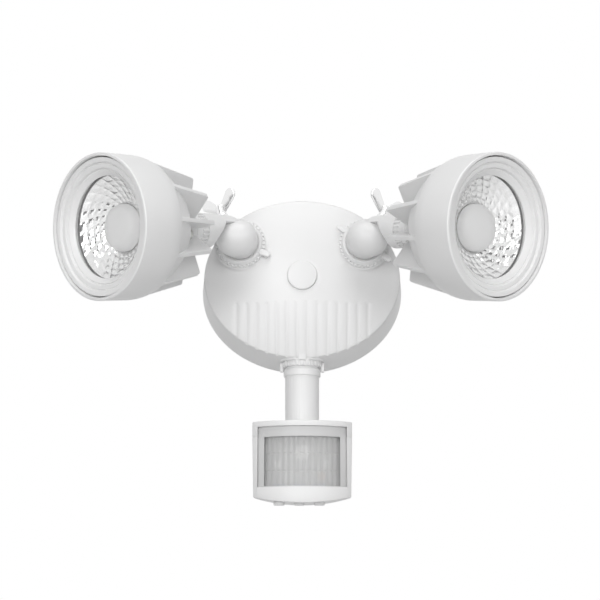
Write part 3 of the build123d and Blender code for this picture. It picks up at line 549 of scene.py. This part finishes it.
class Workshop:
    """What every sub-assembly needs: the frame, the materials and the repeater."""

    def __init__(self, frame: dict) -> None:
        """Keep the frame and make the materials.
        """
        self.nodes = frame["nodes"]
        self.joints = {joint["name"]: joint for joint in frame["joints"]}
        bodies = frame["record"]["behaviour"]["bodies"]
        self.body_of = {node: body for body, members in bodies.items() for node in members}
        self.repeater = Repeater()
        effects = Effects()
        self.materials = {shade: shade.value.build(effects) for shade in Shade}

    def piece(
        self, mesh: Mesh, node: str, shade: Shade, place: Optional[Matrix] = None, angle: float = SHARP_ANGLE
    ) -> None:
        """Make a finished piece that stands for a node.

        Args:
            mesh: Mesh of the piece.
            node: Node that it replaces, whose body it rides.
            shade: Its finish.
            place: Where the mesh goes, or none when it is in place.
            angle: Least angle between faces, in degrees, that stays a sharp edge.
        """
        if place is not None:
            mesh.transform(place)
        mesh.materials.clear()
        mesh.materials.append(self.materials[shade])
        for polygon in mesh.polygons:
            polygon.material_index = 0
        mesh.shade_smooth()
        mesh.set_sharp_from_angle(angle=math.radians(angle))
        mesh.name = f"{node}_look"
        made = placed(f"{node}_look", mesh)
        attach(made, self.body_of[node])
        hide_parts(node)
        LOG.info("%s: %d faces, finish %s", made.name, len(mesh.polygons), shade.value.slot)

    def dress(self, node: str, shade: Shade) -> None:
        """Give a node that stays as it is its material."""
        target = self.nodes[node]
        target.data.materials.clear()
        target.data.materials.append(self.materials[shade])
        LOG.info("%s: dressed with %s", node, shade.value.slot)

    def softened(self, node: str, shade: Shade, width_mm: float, segments: int = 2) -> None:
        """Replace a node by a copy of it with rounded edges.

        Args:
            node: Node to copy.
            shade: Finish of the copy.
            width_mm: Width of the rounding.
            segments: Faces across the rounding.
        """
        body = bmesh.new()
        body.from_mesh(self.nodes[node].data)
        bmesh.ops.remove_doubles(body, verts=body.verts, dist=WELD)
        bmesh.ops.dissolve_limit(body, angle_limit=math.radians(FLAT_ANGLE), verts=body.verts, edges=body.edges)
        soften(body, width_mm, segments)
        self.piece(to_mesh(node, body), node, shade)


# ---------------------------------------------------------------- sub-assemblies
@dataclass
class Canopy:
    """Domed canopy with everything it holds on the wall.

    Attributes:
        shop: Shared tools.
        edge_mm: Rounding of the cast edges.
        plug_radius_mm: Radius of the round cap.
        plug_crown_mm: Height of the cap's crown.
    """

    shop: Workshop
    edge_mm: float = 0.35
    plug_radius_mm: float = 9.0
    plug_crown_mm: float = 0.5

    def build(self) -> None:
        """Make and dress every piece of the canopy."""
        self.shop.softened("canopy_shell", Shade.PAINT, self.edge_mm)
        self.plug()
        for node, shade in (
            ("wall_gasket", Shade.RUBBER_AND_SHADOW_LINE), ("arm_gaskets", Shade.RUBBER_AND_SHADOW_LINE), ("mounting_bar", Shade.ZINC),
            ("centre_screw", Shade.ZINC), ("ground_screw", Shade.GREEN), ("led_driver", Shade.DRIVER),
            ("driver_screws", Shade.ZINC), ("lamp_leads", Shade.SHEATH), ("sensor_lead", Shade.SHEATH),
        ):
            self.shop.dress(node, shade)

    def plug(self) -> None:
        """Round cap over the centre screw, with a soft edge and a slight crown."""
        low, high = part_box("centre_plug")
        front, back = -low.y / MM, -high.y / MM
        radius, stub = self.plug_radius_mm, self.plug_radius_mm - 2.1
        seat = front - 2.4
        crown = self.plug_crown_mm
        profile = rounded([
            (0, front, 0), (radius * 0.6, front - crown * 0.3, 0), (radius, front - crown, 0.9),
            (radius, seat, 0.2), (stub, seat, 0), (stub, back, 0.2), (stub - 1.4, back, 0.2),
            (stub - 1.4, seat, 0), (0, seat, 0),
        ])
        plug = to_mesh("plug", lathe(profile, 96, closed=False))
        self.shop.piece(plug, "centre_plug", Shade.PLASTIC, OUT_OF_WALL)


@dataclass
class HeadPlace:
    """Places of one lamp's parts, worked out from its joints.

    Attributes:
        side: Which lamp.
        shop: Shared tools.
        axis_height_mm: Head's axis above the pivot, along the tilt axis.
        length_mm: Pivot to rim plane, along the head's axis.
    """

    side: Side
    shop: Workshop
    axis_height_mm: float = 5.6
    length_mm: float = 96.8

    def joint(self, name: str) -> tuple[Vector, Vector]:
        """Point and direction of one of the lamp's joints."""
        joint = self.shop.joints[f"{self.side.value}_{name}"]
        return Vector(joint["pos_m"]), Vector(joint["axis"]).normalized()

    def head(self) -> Matrix:
        """Place at the rim's centre whose local Z points back along the head, and local X up."""
        pivot, up = self.joint("tilt")
        _, forward = self.joint("neck_ring_turn")
        origin = pivot + up * self.axis_height_mm * MM + forward * self.length_mm * MM
        back = -forward
        across = back.cross(up)
        return Matrix.Translation(origin) @ Matrix((up, across, back)).transposed().to_4x4()

    def arm(self) -> Matrix:
        """Place on the wall plane under the arm whose local Z points out of the wall."""
        pivot, _ = self.joint("swivel")
        return Matrix.Translation(Vector((pivot.x, 0, pivot.z))) @ OUT_OF_WALL

    def pivot(self) -> Matrix:
        """Place at the pivot whose local Z is the tilt axis and local X points outward."""
        pivot, up = self.joint("tilt")
        out = Vector((self.side.sign * up.z, 0, -self.side.sign * up.x))
        return Matrix.Translation(pivot) @ Matrix((out, up.cross(out), up)).transposed().to_4x4()


@dataclass
class Arm:
    """Lock ring, hollow elbow and wing screw of one lamp.

    Attributes:
        shop: Shared tools.
        where: Places of the lamp's parts.
        ear_angle: Turn of the ring's first ear, in degrees.
        wing_turn: Turn of the wing screw, in degrees.
        wing_angle: Lean of each wing from the screw's axis, in degrees.

    The other fields are sizes. Ring heights count from the wall plane, and screw heights from the pivot.
    """

    shop: Workshop
    where: HeadPlace
    ear_angle: float
    wing_turn: float
    ring_back_mm: float = 47.4
    ring_height_mm: float = 4.0
    ring_back_radius_mm: float = 15.0
    ring_front_radius_mm: float = 12.6
    ring_bore_mm: float = 10.26
    ring_teeth: int = 36
    ear_reach_mm: float = 19.5
    ear_width_mm: float = 3.3
    screw_radius_mm: float = 2.3
    screw_seat_mm: float = 14.45
    hub_height_mm: float = 8.0
    hub_radius_mm: float = 3.2
    wing_angle: float = 52.0
    wing_length_mm: float = 16.0
    wing_width_mm: float = 7.2
    wing_thickness_mm: float = 1.9

    def build(self) -> None:
        """Make and dress the arm's pieces."""
        name = self.where.side.value
        self.lock_ring(f"{name}_lock_ring")
        self.shop.softened(f"{name}_elbow", Shade.PAINT, 0.3)
        self.wing_screw(f"{name}_wing_screw")

    def lock_ring(self, node: str) -> None:
        """Coned ring with raised teeth all round and two ears."""
        start, end = self.ring_back_mm, self.ring_back_mm + self.ring_height_mm
        back, front, bore = self.ring_back_radius_mm, self.ring_front_radius_mm, self.ring_bore_mm
        root, band = back - 1.2, start + self.ring_height_mm * 0.5
        profile = rounded([
            (bore, end - 1.6, 0), (bore, start, 0.15), (back, start, 0.15), (back, start + 0.4, 0.1),
            (root, start + 0.5, 0), (root, band - 0.1, 0), (back - 1.1, band, 0.1),
            (back - 1.3, band + 0.4, 0.2),
            (front, end, 0.4), (front - 0.8, end, 0.2), (bore + 0.2, end - 0.9, 0.2), (bore, end - 1.6, 0),
        ])
        body = to_mesh("ring", lathe(profile[:-1]))
        paint = self.shop.materials[Shade.PLASTIC]
        width = 2 * math.pi * back / self.ring_teeth * 0.5
        tooth = soften(block(root - 0.8, back - 0.1, width, start + 0.3, band + 0.1), 0.2)
        teeth = self.shop.repeater.around(tooth, self.ring_teeth, paint)
        half = self.ear_width_mm / 2
        centre = self.ear_reach_mm - half
        outline = [(bore + 2, -half), (centre, -half)]
        outline += [
            (centre + half * math.cos(turn), half * math.sin(turn))
            for turn in (math.radians(-75 + 15 * step) for step in range(11))
        ]
        outline += [(centre, half), (bore + 2, half)]
        thickness = self.ring_height_mm - 0.7
        ear = plate(outline, thickness)
        lift = Matrix.Translation((0, 0, (start + thickness / 2) * MM))
        bmesh.ops.transform(ear, verts=ear.verts, matrix=lift @ Matrix.Rotation(math.pi / 2, 4, "X"))
        soften(ear, 0.5)
        ears = self.shop.repeater.around(ear, 2, paint, math.radians(self.ear_angle))
        self.shop.piece(joined("ring", [body, teeth, ears]), node, Shade.PLASTIC, self.where.arm())

    def wing_screw(self, node: str) -> None:
        """Clamping screw with two cast paddle wings."""
        seat, top = self.screw_seat_mm, self.screw_seat_mm + self.hub_height_mm
        radius = self.hub_radius_mm
        profile = rounded([
            (0, -1.0, 0), (self.screw_radius_mm, -1.0, 0.4), (self.screw_radius_mm, seat, 0),
            (radius + 0.2, seat, 0.3), (radius + 0.2, seat + 1.2, 0.3), (radius - 0.4, seat + 2.0, 0.6),
            (radius - 0.3, top - 1.0, 0.9), (radius - 1.2, top, 0.6), (0, top, 0),
        ])
        hub = to_mesh("hub", lathe(profile, 64, closed=False))
        half, length = self.wing_width_mm / 2, self.wing_length_mm - self.wing_width_mm / 2
        outline = [(-half * 0.55, 0.0), (-half * 0.8, length * 0.45)]
        outline += [
            (half * math.cos(turn), length + half * math.sin(turn))
            for turn in (math.radians(180 - 15 * step) for step in range(13))
        ]
        outline += [(half * 0.8, length * 0.45), (half * 0.55, 0.0)]
        wings = []
        lift = Matrix.Translation((0, 0, (seat + self.hub_height_mm * 0.45) * MM))
        for angle in (-self.wing_angle, self.wing_angle):
            wing = soften(plate(outline, self.wing_thickness_mm), 0.5, 3)
            lean = Matrix.Rotation(math.radians(angle), 4, "Y")
            bmesh.ops.transform(wing, verts=wing.verts, matrix=lift @ lean)
            wings.append(to_mesh("wing", wing))
        place = self.where.pivot() @ Matrix.Rotation(math.radians(self.wing_turn), 4, "Z")
        self.shop.piece(joined("screw", [hub, *wings]), node, Shade.WING, place)


@dataclass
class LampHead:
    """One finned lamp head with its glass, reflector and light source.

    Attributes:
        shop: Shared tools.
        where: Places of the lamp's parts.
        facet_twist: Turn of the facets from mouth to throat, in degrees.

    The other fields are sizes and counts. Depths run back from the rim's plane.
    """

    shop: Workshop
    where: HeadPlace
    casting_edge_mm: float = 0.5
    rim_inner_mm: float = 37.9
    stub_bore_mm: float = 8.06
    shelf_mm: float = 11.0
    window_radius_mm: float = 27.7
    window_depth_mm: float = 6.05
    lens_radius_mm: float = 29.3
    lens_front_mm: float = 7.05
    lens_back_mm: float = 9.55
    reflector_front_mm: float = 10.2
    throat_radius_mm: float = 13.2
    throat_depth_mm: float = 19.4
    mouth_radius_mm: float = 28.3
    facet_columns: int = 28
    facet_rows: int = 5
    facet_twist: float = 26.0
    facet_bulge_mm: float = 0.42
    diffuser_radius_mm: float = 13.0
    diffuser_depth_mm: float = 18.0
    diffuser_crown_mm: float = 6.4
    # Width of the lens seal, set to the width of the painted shadow line that its black makes along the
    # window's edge.
    seal_and_shadow_width_mm: float = 0.9
    ring_start_mm: float = 62.6
    ring_end_mm: float = 73.0
    ring_collar_mm: float = 9.5
    ring_outer_mm: float = 10.2
    ring_teeth: int = 26
    tooth_length_mm: float = 4.6

    def build(self) -> None:
        """Make and dress the head's pieces."""
        name = self.where.side.value
        self.shop.softened(f"{name}_head_housing", Shade.PAINT, self.casting_edge_mm, 3)
        self.bezel(f"{name}_bezel")
        self.lens(f"{name}_lens")
        self.lens_gasket(f"{name}_lens_gasket")
        self.reflector(f"{name}_reflector")
        self.diffuser(f"{name}_diffuser")
        self.neck_ring(f"{name}_neck_ring")
        self.shop.softened(f"{name}_knuckle", Shade.PAINT, 0.3)
        for part, shade in (
            ("led_board", Shade.LED_BOARD), ("led_emitter", Shade.PHOSPHOR), ("rear_screws", Shade.ZINC),
        ):
            self.shop.dress(f"{name}_{part}", shade)

    def bezel(self, node: str) -> None:
        """Ring of three rounded steps, with a fine groove at the foot of each, that clamps the glass."""
        outer = self.rim_inner_mm - 0.7
        step = (outer - self.window_radius_mm) / 3
        seat, inner = self.lens_radius_mm + 0.2, outer - 2.5
        first, second = outer - step, outer - 2 * step
        profile = rounded([
            (outer, 5.0, 0), (outer, 1.3, 0.45), (first + 0.6, 1.5, 0.5), (first + 0.1, 2.9, 0.1),
            (first - 0.25, 2.9, 0.1), (first - 0.5, 2.6, 0.3), (second + 0.6, 2.8, 0.5),
            (second + 0.1, 4.5, 0.1),
            (second - 0.25, 4.5, 0.1), (second - 0.5, 4.2, 0.3),
            (self.window_radius_mm, self.window_depth_mm + 0.3, 0.2),
            (self.window_radius_mm, self.lens_front_mm - 0.1, 0.1), (seat, self.lens_front_mm - 0.1, 0),
            (seat, self.reflector_front_mm - 0.1, 0), (inner, self.reflector_front_mm - 0.1, 0),
            (inner, self.shelf_mm - 0.1, 0), (outer, self.shelf_mm - 0.1, 0), (outer, 5.0, 0),
        ])
        self.shop.piece(to_mesh("bezel", lathe(profile[:-1], 192)), node, Shade.BEZEL, self.where.head())

    def lens(self, node: str) -> None:
        """Clear front glass with polished edges."""
        radius, front, back = self.lens_radius_mm, self.lens_front_mm, self.lens_back_mm
        profile = rounded([(0, front, 0), (radius, front, 0.3), (radius, back, 0.3), (0, back, 0)])
        glass = to_mesh("lens", lathe(profile, 128, closed=False))
        self.shop.piece(glass, node, Shade.GLASS, self.where.head())

    def lens_gasket(self, node: str) -> None:
        """Thin dark seal behind the edge of the glass; its black is also a painted shadow line along the
        window's edge.
        """
        outer, inner = self.lens_radius_mm, self.lens_radius_mm - self.seal_and_shadow_width_mm
        front, back = self.lens_back_mm + 0.02, self.reflector_front_mm - 0.02
        profile = rounded([
            (inner, back, 0), (inner, front, 0.15), (outer, front, 0.15), (outer, back, 0.15), (inner, back, 0),
        ])
        self.shop.piece(to_mesh("seal", lathe(profile[:-1], 128)), node, Shade.RUBBER_AND_SHADOW_LINE, self.where.head())

    def reflector(self, node: str) -> None:
        """Bright dish of bulged facets that wind round the light source, with a flat flange."""
        front, mouth = self.reflector_front_mm, self.mouth_radius_mm
        throat, depth = self.throat_radius_mm, self.throat_depth_mm
        steps = 4
        count = self.facet_rows * steps
        column = 2 * math.pi / self.facet_columns
        twist = math.radians(self.facet_twist)
        strip = bmesh.new()
        rows = []
        for level in range(count + 1):
            share = level / count
            radius = mouth + (throat - mouth) * share
            height = front + (depth - front) * (share ** 0.8)
            along = (share * self.facet_rows) % 1.0 if level < count else 0.0
            row = []
            for step in range(steps + 1):
                across = step / steps
                bulge = self.facet_bulge_mm * 16 * across * (1 - across) * along * (1 - along)
                turn = column * across + twist * share
                reach = radius - bulge * 0.5
                point = Vector((reach * math.cos(turn), reach * math.sin(turn), height - bulge))
                row.append(strip.verts.new(point * MM))
            rows.append(row)
        grid_faces(rows, strip)
        dish = self.shop.repeater.around(strip, self.facet_columns, self.shop.materials[Shade.MIRROR])
        flange = self.rim_inner_mm - 3.3
        skirt = rounded([
            (mouth, front, 0), (flange, front, 0.1),
            (flange, self.shelf_mm - 0.05, 0), (mouth + 1.2, self.shelf_mm - 0.05, 0),
            ((mouth + throat) / 2 + 1.4, (self.shelf_mm + depth) / 2 + 2.6, 3.0),
            (throat + 0.6, depth + 0.9, 0), (throat, depth, 0),
        ])
        outside = to_mesh("skirt", lathe(skirt, self.facet_columns * steps, closed=False))
        body = gathered([dish, outside])
        bmesh.ops.remove_doubles(body, verts=body.verts, dist=COARSE_WELD)
        bmesh.ops.recalc_face_normals(body, faces=body.faces)
        self.shop.piece(to_mesh("reflector", body), node, Shade.MIRROR, self.where.head(), angle=9.0)

    def diffuser(self, node: str) -> None:
        """Frosted cap over the light source, domed to the front."""
        radius, depth = self.diffuser_radius_mm, self.diffuser_depth_mm
        crown, rim = depth - self.diffuser_crown_mm, depth + 0.6

        def skin(share: float) -> Point:
            """Point of the dome at a share of its radius."""
            return radius * share, rim - (rim - crown) * (1 - share ** 3) ** (1 / 3)

        shares = [math.sin(math.pi / 2 * step / 20) for step in range(21)]
        profile = [skin(share) for share in shares]
        profile += [(radius, depth + 0.8), (radius, depth + 1.3), (0.0, depth + 1.3)]
        dome = to_mesh("diffuser", lathe(profile, 128, closed=False))
        self.shop.piece(dome, node, Shade.FROST, self.where.head())

    def neck_ring(self, node: str) -> None:
        """Toothed lock ring between the neck and the knuckle."""
        start, end = self.ring_start_mm, self.ring_end_mm
        collar, bore = self.ring_collar_mm, self.stub_bore_mm
        foot = end - self.tooth_length_mm
        profile = rounded([
            (bore, start, 0.1), (collar - 0.7, start, 0.2), (collar - 0.7, start + 1.9, 0.1),
            (collar, start + 2.1, 0.3), (collar, foot, 0.1), (collar - 0.1, end, 0.2), (bore, end, 0.1),
        ])
        ring = to_mesh("ring", lathe(profile, 104))
        width = 2 * math.pi * self.ring_outer_mm / self.ring_teeth * 0.52
        tooth = soften(block(collar - 0.8, self.ring_outer_mm, width, foot, end), 0.25)
        teeth = self.shop.repeater.around(tooth, self.ring_teeth, self.shop.materials[Shade.PLASTIC])
        self.shop.piece(joined("neck_ring", [ring, teeth]), node, Shade.PLASTIC, self.where.head())


@dataclass
class MotionSensor:
    """Stem and motion sensor below the canopy.

    Attributes:
        shop: Shared tools.
        band_rows: Rows of the lens sheet that hold the grooves between its bands.

    The other fields are sizes and counts. Heights are along Z, and depths run out from the wall.
    """

    shop: Workshop
    stem_depth_mm: float = 27.0
    ring_top_mm: float = -49.9
    ring_height_mm: float = 3.3
    ring_radius_mm: float = 12.1
    ring_bore_mm: float = 10.26
    ring_notches: int = 24
    ear_reach_mm: float = 13.5
    ear_drop_mm: float = 6.0
    ear_width_mm: float = 2.8
    lens_half_width_mm: float = 23.9
    lens_side_half_mm: float = 25.0
    lens_front_mm: float = 47.5
    lens_side_mm: float = 36.4
    lens_thickness_mm: float = 1.2
    lens_top_mm: float = -95.1
    lens_bottom_mm: float = -125.9
    flute_count: int = 15
    flute_depth_mm: float = 0.3
    band_rows: tuple[int, ...] = (18, 38)

    def build(self) -> None:
        """Make and dress the sensor's pieces."""
        self.lock_ring()
        self.fresnel_lens()
        for node, shade, edge in (
            ("sensor_stem", Shade.PLASTIC, 0.3), ("sensor_hood", Shade.PLASTIC, 0.4),
            ("sensor_housing", Shade.PLASTIC, 0.4), ("sensor_back_cover", Shade.PLASTIC, 0.4),
            ("sensor_front_frame", Shade.FRAME, 0.35), ("time_knob", Shade.PLASTIC, 0.2),
            ("sensitivity_knob", Shade.PLASTIC, 0.2), ("light_level_knob", Shade.PLASTIC, 0.2),
            ("pir_holder", Shade.HOLDER, 0.3), ("relay", Shade.RELAY, 0.3),
        ):
            self.shop.softened(node, shade, edge)
        for node, shade in (
            ("stem_nut", Shade.PLASTIC), ("sensor_cover_screws", Shade.ZINC), ("sensor_board", Shade.BOARD),
            ("board_screws", Shade.ZINC), ("pir_element", Shade.CAN), ("photocell", Shade.CELL),
            ("potentiometers", Shade.ADJUSTER),
        ):
            self.shop.dress(node, shade)

    def lock_ring(self) -> None:
        """Notched ring with two hanging ears."""
        top, bottom = self.ring_top_mm, self.ring_top_mm - self.ring_height_mm
        radius, bore = self.ring_radius_mm, self.ring_bore_mm
        profile = rounded([
            (bore, bottom, 0.2), (radius - 0.4, bottom, 0.3), (radius - 0.4, bottom + 0.4, 0),
            (radius - 0.7, bottom + 0.6, 0), (radius - 0.7, top - 0.6, 0), (radius, top - 0.45, 0.1),
            (radius, top, 0.2), (bore, top, 0.1),
        ])
        ring = to_mesh("ring", lathe(profile))
        paint = self.shop.materials[Shade.PLASTIC]
        width = 2 * math.pi * radius / self.ring_notches * 0.6
        tooth = soften(block(radius - 1.5, radius, width, bottom + 0.25, top - 0.25), 0.3)
        teeth = self.shop.repeater.around(tooth, self.ring_notches, paint)
        drop = top - self.ear_drop_mm
        ear = soften(block(radius - 0.6, self.ear_reach_mm, self.ear_width_mm, drop, top - 0.4), 0.4)
        ears = self.shop.repeater.around(ear, 2, paint)
        place = Matrix.Translation((0, -self.stem_depth_mm * MM, 0))
        self.shop.piece(joined("ring", [ring, teeth, ears]), "sensor_lock_ring", Shade.PLASTIC, place)

    def fresnel_lens(self) -> None:
        """Bowed milky sheet with upright flutes, in three bands that fine grooves part."""
        sagitta = self.lens_front_mm - self.lens_side_mm
        radius = (self.lens_side_half_mm ** 2 + sagitta ** 2) / (2 * sagitta)
        centre = radius - self.lens_front_mm
        reach = math.asin(self.lens_half_width_mm / radius)
        height = self.lens_top_mm - self.lens_bottom_mm
        columns, rows = self.flute_count * 8, 60
        sheet = bmesh.new()
        layers = []
        for inner in (False, True):
            grid = []
            for row in range(rows + 1):
                share = row / rows
                groove = self.flute_depth_mm if row in self.band_rows else 0.0
                line = []
                for column in range(columns + 1):
                    across = column / columns
                    turn = reach * (2 * across - 1)
                    wave = abs(math.sin(math.pi * self.flute_count * across))
                    depth = max(groove, self.flute_depth_mm * (1 - wave))
                    if inner:
                        depth = self.lens_thickness_mm - self.flute_depth_mm * wave
                    line.append(sheet.verts.new(Vector((
                        (radius - depth) * math.sin(turn),
                        centre - (radius - depth) * math.cos(turn),
                        self.lens_bottom_mm + height * share,
                    )) * MM))
                grid.append(line)
            grid_faces(grid, sheet)
            layers.append(grid)
        front, back = layers
        for side in (0, -1):
            grid_faces([[line[side] for line in front], [line[side] for line in back]], sheet)
            grid_faces([front[side], back[side]], sheet)
        bmesh.ops.recalc_face_normals(sheet, faces=sheet.faces)
        self.shop.piece(to_mesh("fresnel", sheet), "fresnel_lens", Shade.LENS, angle=40.0)


# ---------------------------------------------------------------- studio
@dataclass
class Studio:
    """Camera, lights, floor and white surroundings.

    Attributes:
        camera_at: Place of the camera.
        camera_pitch: Upward tilt of the camera, in degrees.
        focal_mm: Focal length on the sensor width below.
        sensor_mm: Width of the camera's sensor.
        floor_z: Height of the floor.
        floor_size: Length of the floor's side.
        floor_glow: Brightness added to the floor where the camera looks.
        ambient: Strength of the surroundings as a light.
        lamps: Name, place, length of side and watts of each lamp.
        aim: Point that the lamps face.
        cards: Name and middle along X of each dark card.
        card_y: Place of the cards along Y.
        card_size: Width and height of a card.
    """

    camera_at: tuple[float, float, float] = (-0.0013, -0.732, -0.167)
    camera_pitch: float = 12.5
    focal_mm: float = 70.2
    sensor_mm: float = 36.0
    floor_z: float = -0.60
    floor_size: float = 24.0
    floor_glow: float = 0.55
    ambient: float = 0.22
    lamps: tuple[Lamp, ...] = (
        ("overhead", (0.0, -0.75, 1.25), 1.0, 8.0),
        ("front_fill", (-0.5, -1.9, 0.1), 1.2, 14.0),
        ("right_fill", (1.0, -1.8, 0.1), 1.0, 7.5),
    )
    aim: tuple[float, float, float] = (0.0, -0.08, -0.03)
    cards: tuple[tuple[str, float], ...] = (("left_card", -1.2), ("right_card", 1.2))
    card_y: float = -1.6
    card_size: tuple[float, float] = (1.0, 0.9)

    def build(self) -> None:
        """Set up everything around the light."""
        self.camera()
        self.surroundings()
        self.floor()
        for lamp in self.lamps:
            self.lamp(*lamp)
        for card in self.cards:
            self.dark_card(*card)
        bpy.context.scene.view_settings.view_transform = "Standard"

    def camera(self) -> None:
        """Camera at the photograph's angle."""
        data = bpy.data.cameras.new("camera")
        data.lens = self.focal_mm
        data.sensor_width = self.sensor_mm
        data.clip_start = 0.01
        data.clip_end = 50.0
        camera = placed("camera", data)
        camera.location = self.camera_at
        camera.rotation_euler = (math.radians(90 + self.camera_pitch), 0, 0)
        bpy.context.scene.camera = camera

    @staticmethod
    def sight(tree: NodeTree) -> NodeSocket:
        """Mask that is 1 where the camera looks, also by way of a reflection or through glass.

        Args:
            tree: Node tree that gets the mask.

        Returns:
            Output socket of the mask.
        """
        path = tree.nodes.new("ShaderNodeLightPath")
        mask = path.outputs["Is Camera Ray"]
        for ray in ("Is Glossy Ray", "Is Transmission Ray"):
            mask = arithmetic(tree, "MAXIMUM", mask, path.outputs[ray])
        return mask

    def surroundings(self) -> None:
        """White all round for the camera and for reflections, and a soft light for the rest."""
        world = bpy.data.worlds.new("surroundings")
        world.use_nodes = True
        bpy.context.scene.world = world
        node, link = world.node_tree.nodes.new, world.node_tree.links.new
        background = world.node_tree.nodes["Background"]
        background.inputs["Color"].default_value = (1, 1, 1, 1)
        strength = node("ShaderNodeMapRange")
        strength.inputs["To Min"].default_value = self.ambient
        strength.inputs["To Max"].default_value = 1.0
        link(self.sight(world.node_tree), strength.inputs["Value"])
        link(strength.outputs[0], background.inputs["Strength"])

    def floor(self) -> None:
        """Plain pale floor well below the light, brighter where the camera looks."""
        body = bmesh.new()
        bmesh.ops.create_grid(body, x_segments=1, y_segments=1, size=self.floor_size / 2)
        floor = placed("floor", to_mesh("floor", body))
        floor.location = (0, 0, self.floor_z)
        material = bpy.data.materials.new("pale_floor")
        material.use_nodes = True
        shader = material.node_tree.nodes["Principled BSDF"]
        shader.inputs["Base Color"].default_value = (0.86, 0.86, 0.86, 1)
        shader.inputs["Roughness"].default_value = 0.9
        shader.inputs["Emission Color"].default_value = (1, 1, 1, 1)
        tree = material.node_tree
        glow = arithmetic(tree, "MULTIPLY", self.sight(tree), self.floor_glow)
        tree.links.new(glow, shader.inputs["Emission Strength"])
        floor.data.materials.append(material)

    def lamp(self, name: str, at: tuple[float, float, float], size: float, power: float) -> None:
        """Square soft lamp that faces the light.

        Args:
            name: Name of the lamp.
            at: Its place.
            size: Length of its side.
            power: Its power in watts.
        """
        data = bpy.data.lights.new(name, "AREA")
        data.shape = "SQUARE"
        data.size = size
        data.energy = power
        lamp = placed(name, data)
        lamp.location = at
        lamp.rotation_euler = (Vector(self.aim) - Vector(at)).to_track_quat("-Z", "Y").to_euler()

    def dark_card(self, name: str, centre_x: float) -> None:
        """Dark card on one side behind the camera, seen only in bright metal.

        Args:
            name: Name of the card.
            centre_x: Place of its middle along X.
        """
        body = bmesh.new()
        bmesh.ops.create_grid(body, x_segments=1, y_segments=1, size=0.5)
        width, height = self.card_size
        for vertex in body.verts:
            vertex.co = Vector((centre_x + vertex.co.x * width, self.card_y, vertex.co.y * height))
        card = placed(name, to_mesh(name, body))
        material = bpy.data.materials.new(name)
        material.use_nodes = True
        shader = material.node_tree.nodes["Principled BSDF"]
        shader.inputs["Base Color"].default_value = (0.01, 0.01, 0.01, 1)
        shader.inputs["Roughness"].default_value = 1.0
        card.data.materials.append(material)
        for ray in ("camera", "diffuse", "transmission", "volume_scatter", "shadow"):
            setattr(card, f"visible_{ray}", False)


def main() -> None:
    """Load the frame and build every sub-assembly in order."""
    logging.basicConfig(level=logging.INFO, format="%(name)s: %(message)s")
    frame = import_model()
    shop = Workshop(frame)
    Studio().build()
    Canopy(shop).build()
    for side, ear_angle, wing_turn in ((Side.LEFT, -23.5, -40.0), (Side.RIGHT, 146.0, 40.0)):
        where = HeadPlace(side, shop)
        Arm(shop, where, ear_angle, wing_turn).build()
        LampHead(shop, where).build()
    MotionSensor(shop).build()
    LOG.info("boxes written")


if __name__ == "__main__":
    main()
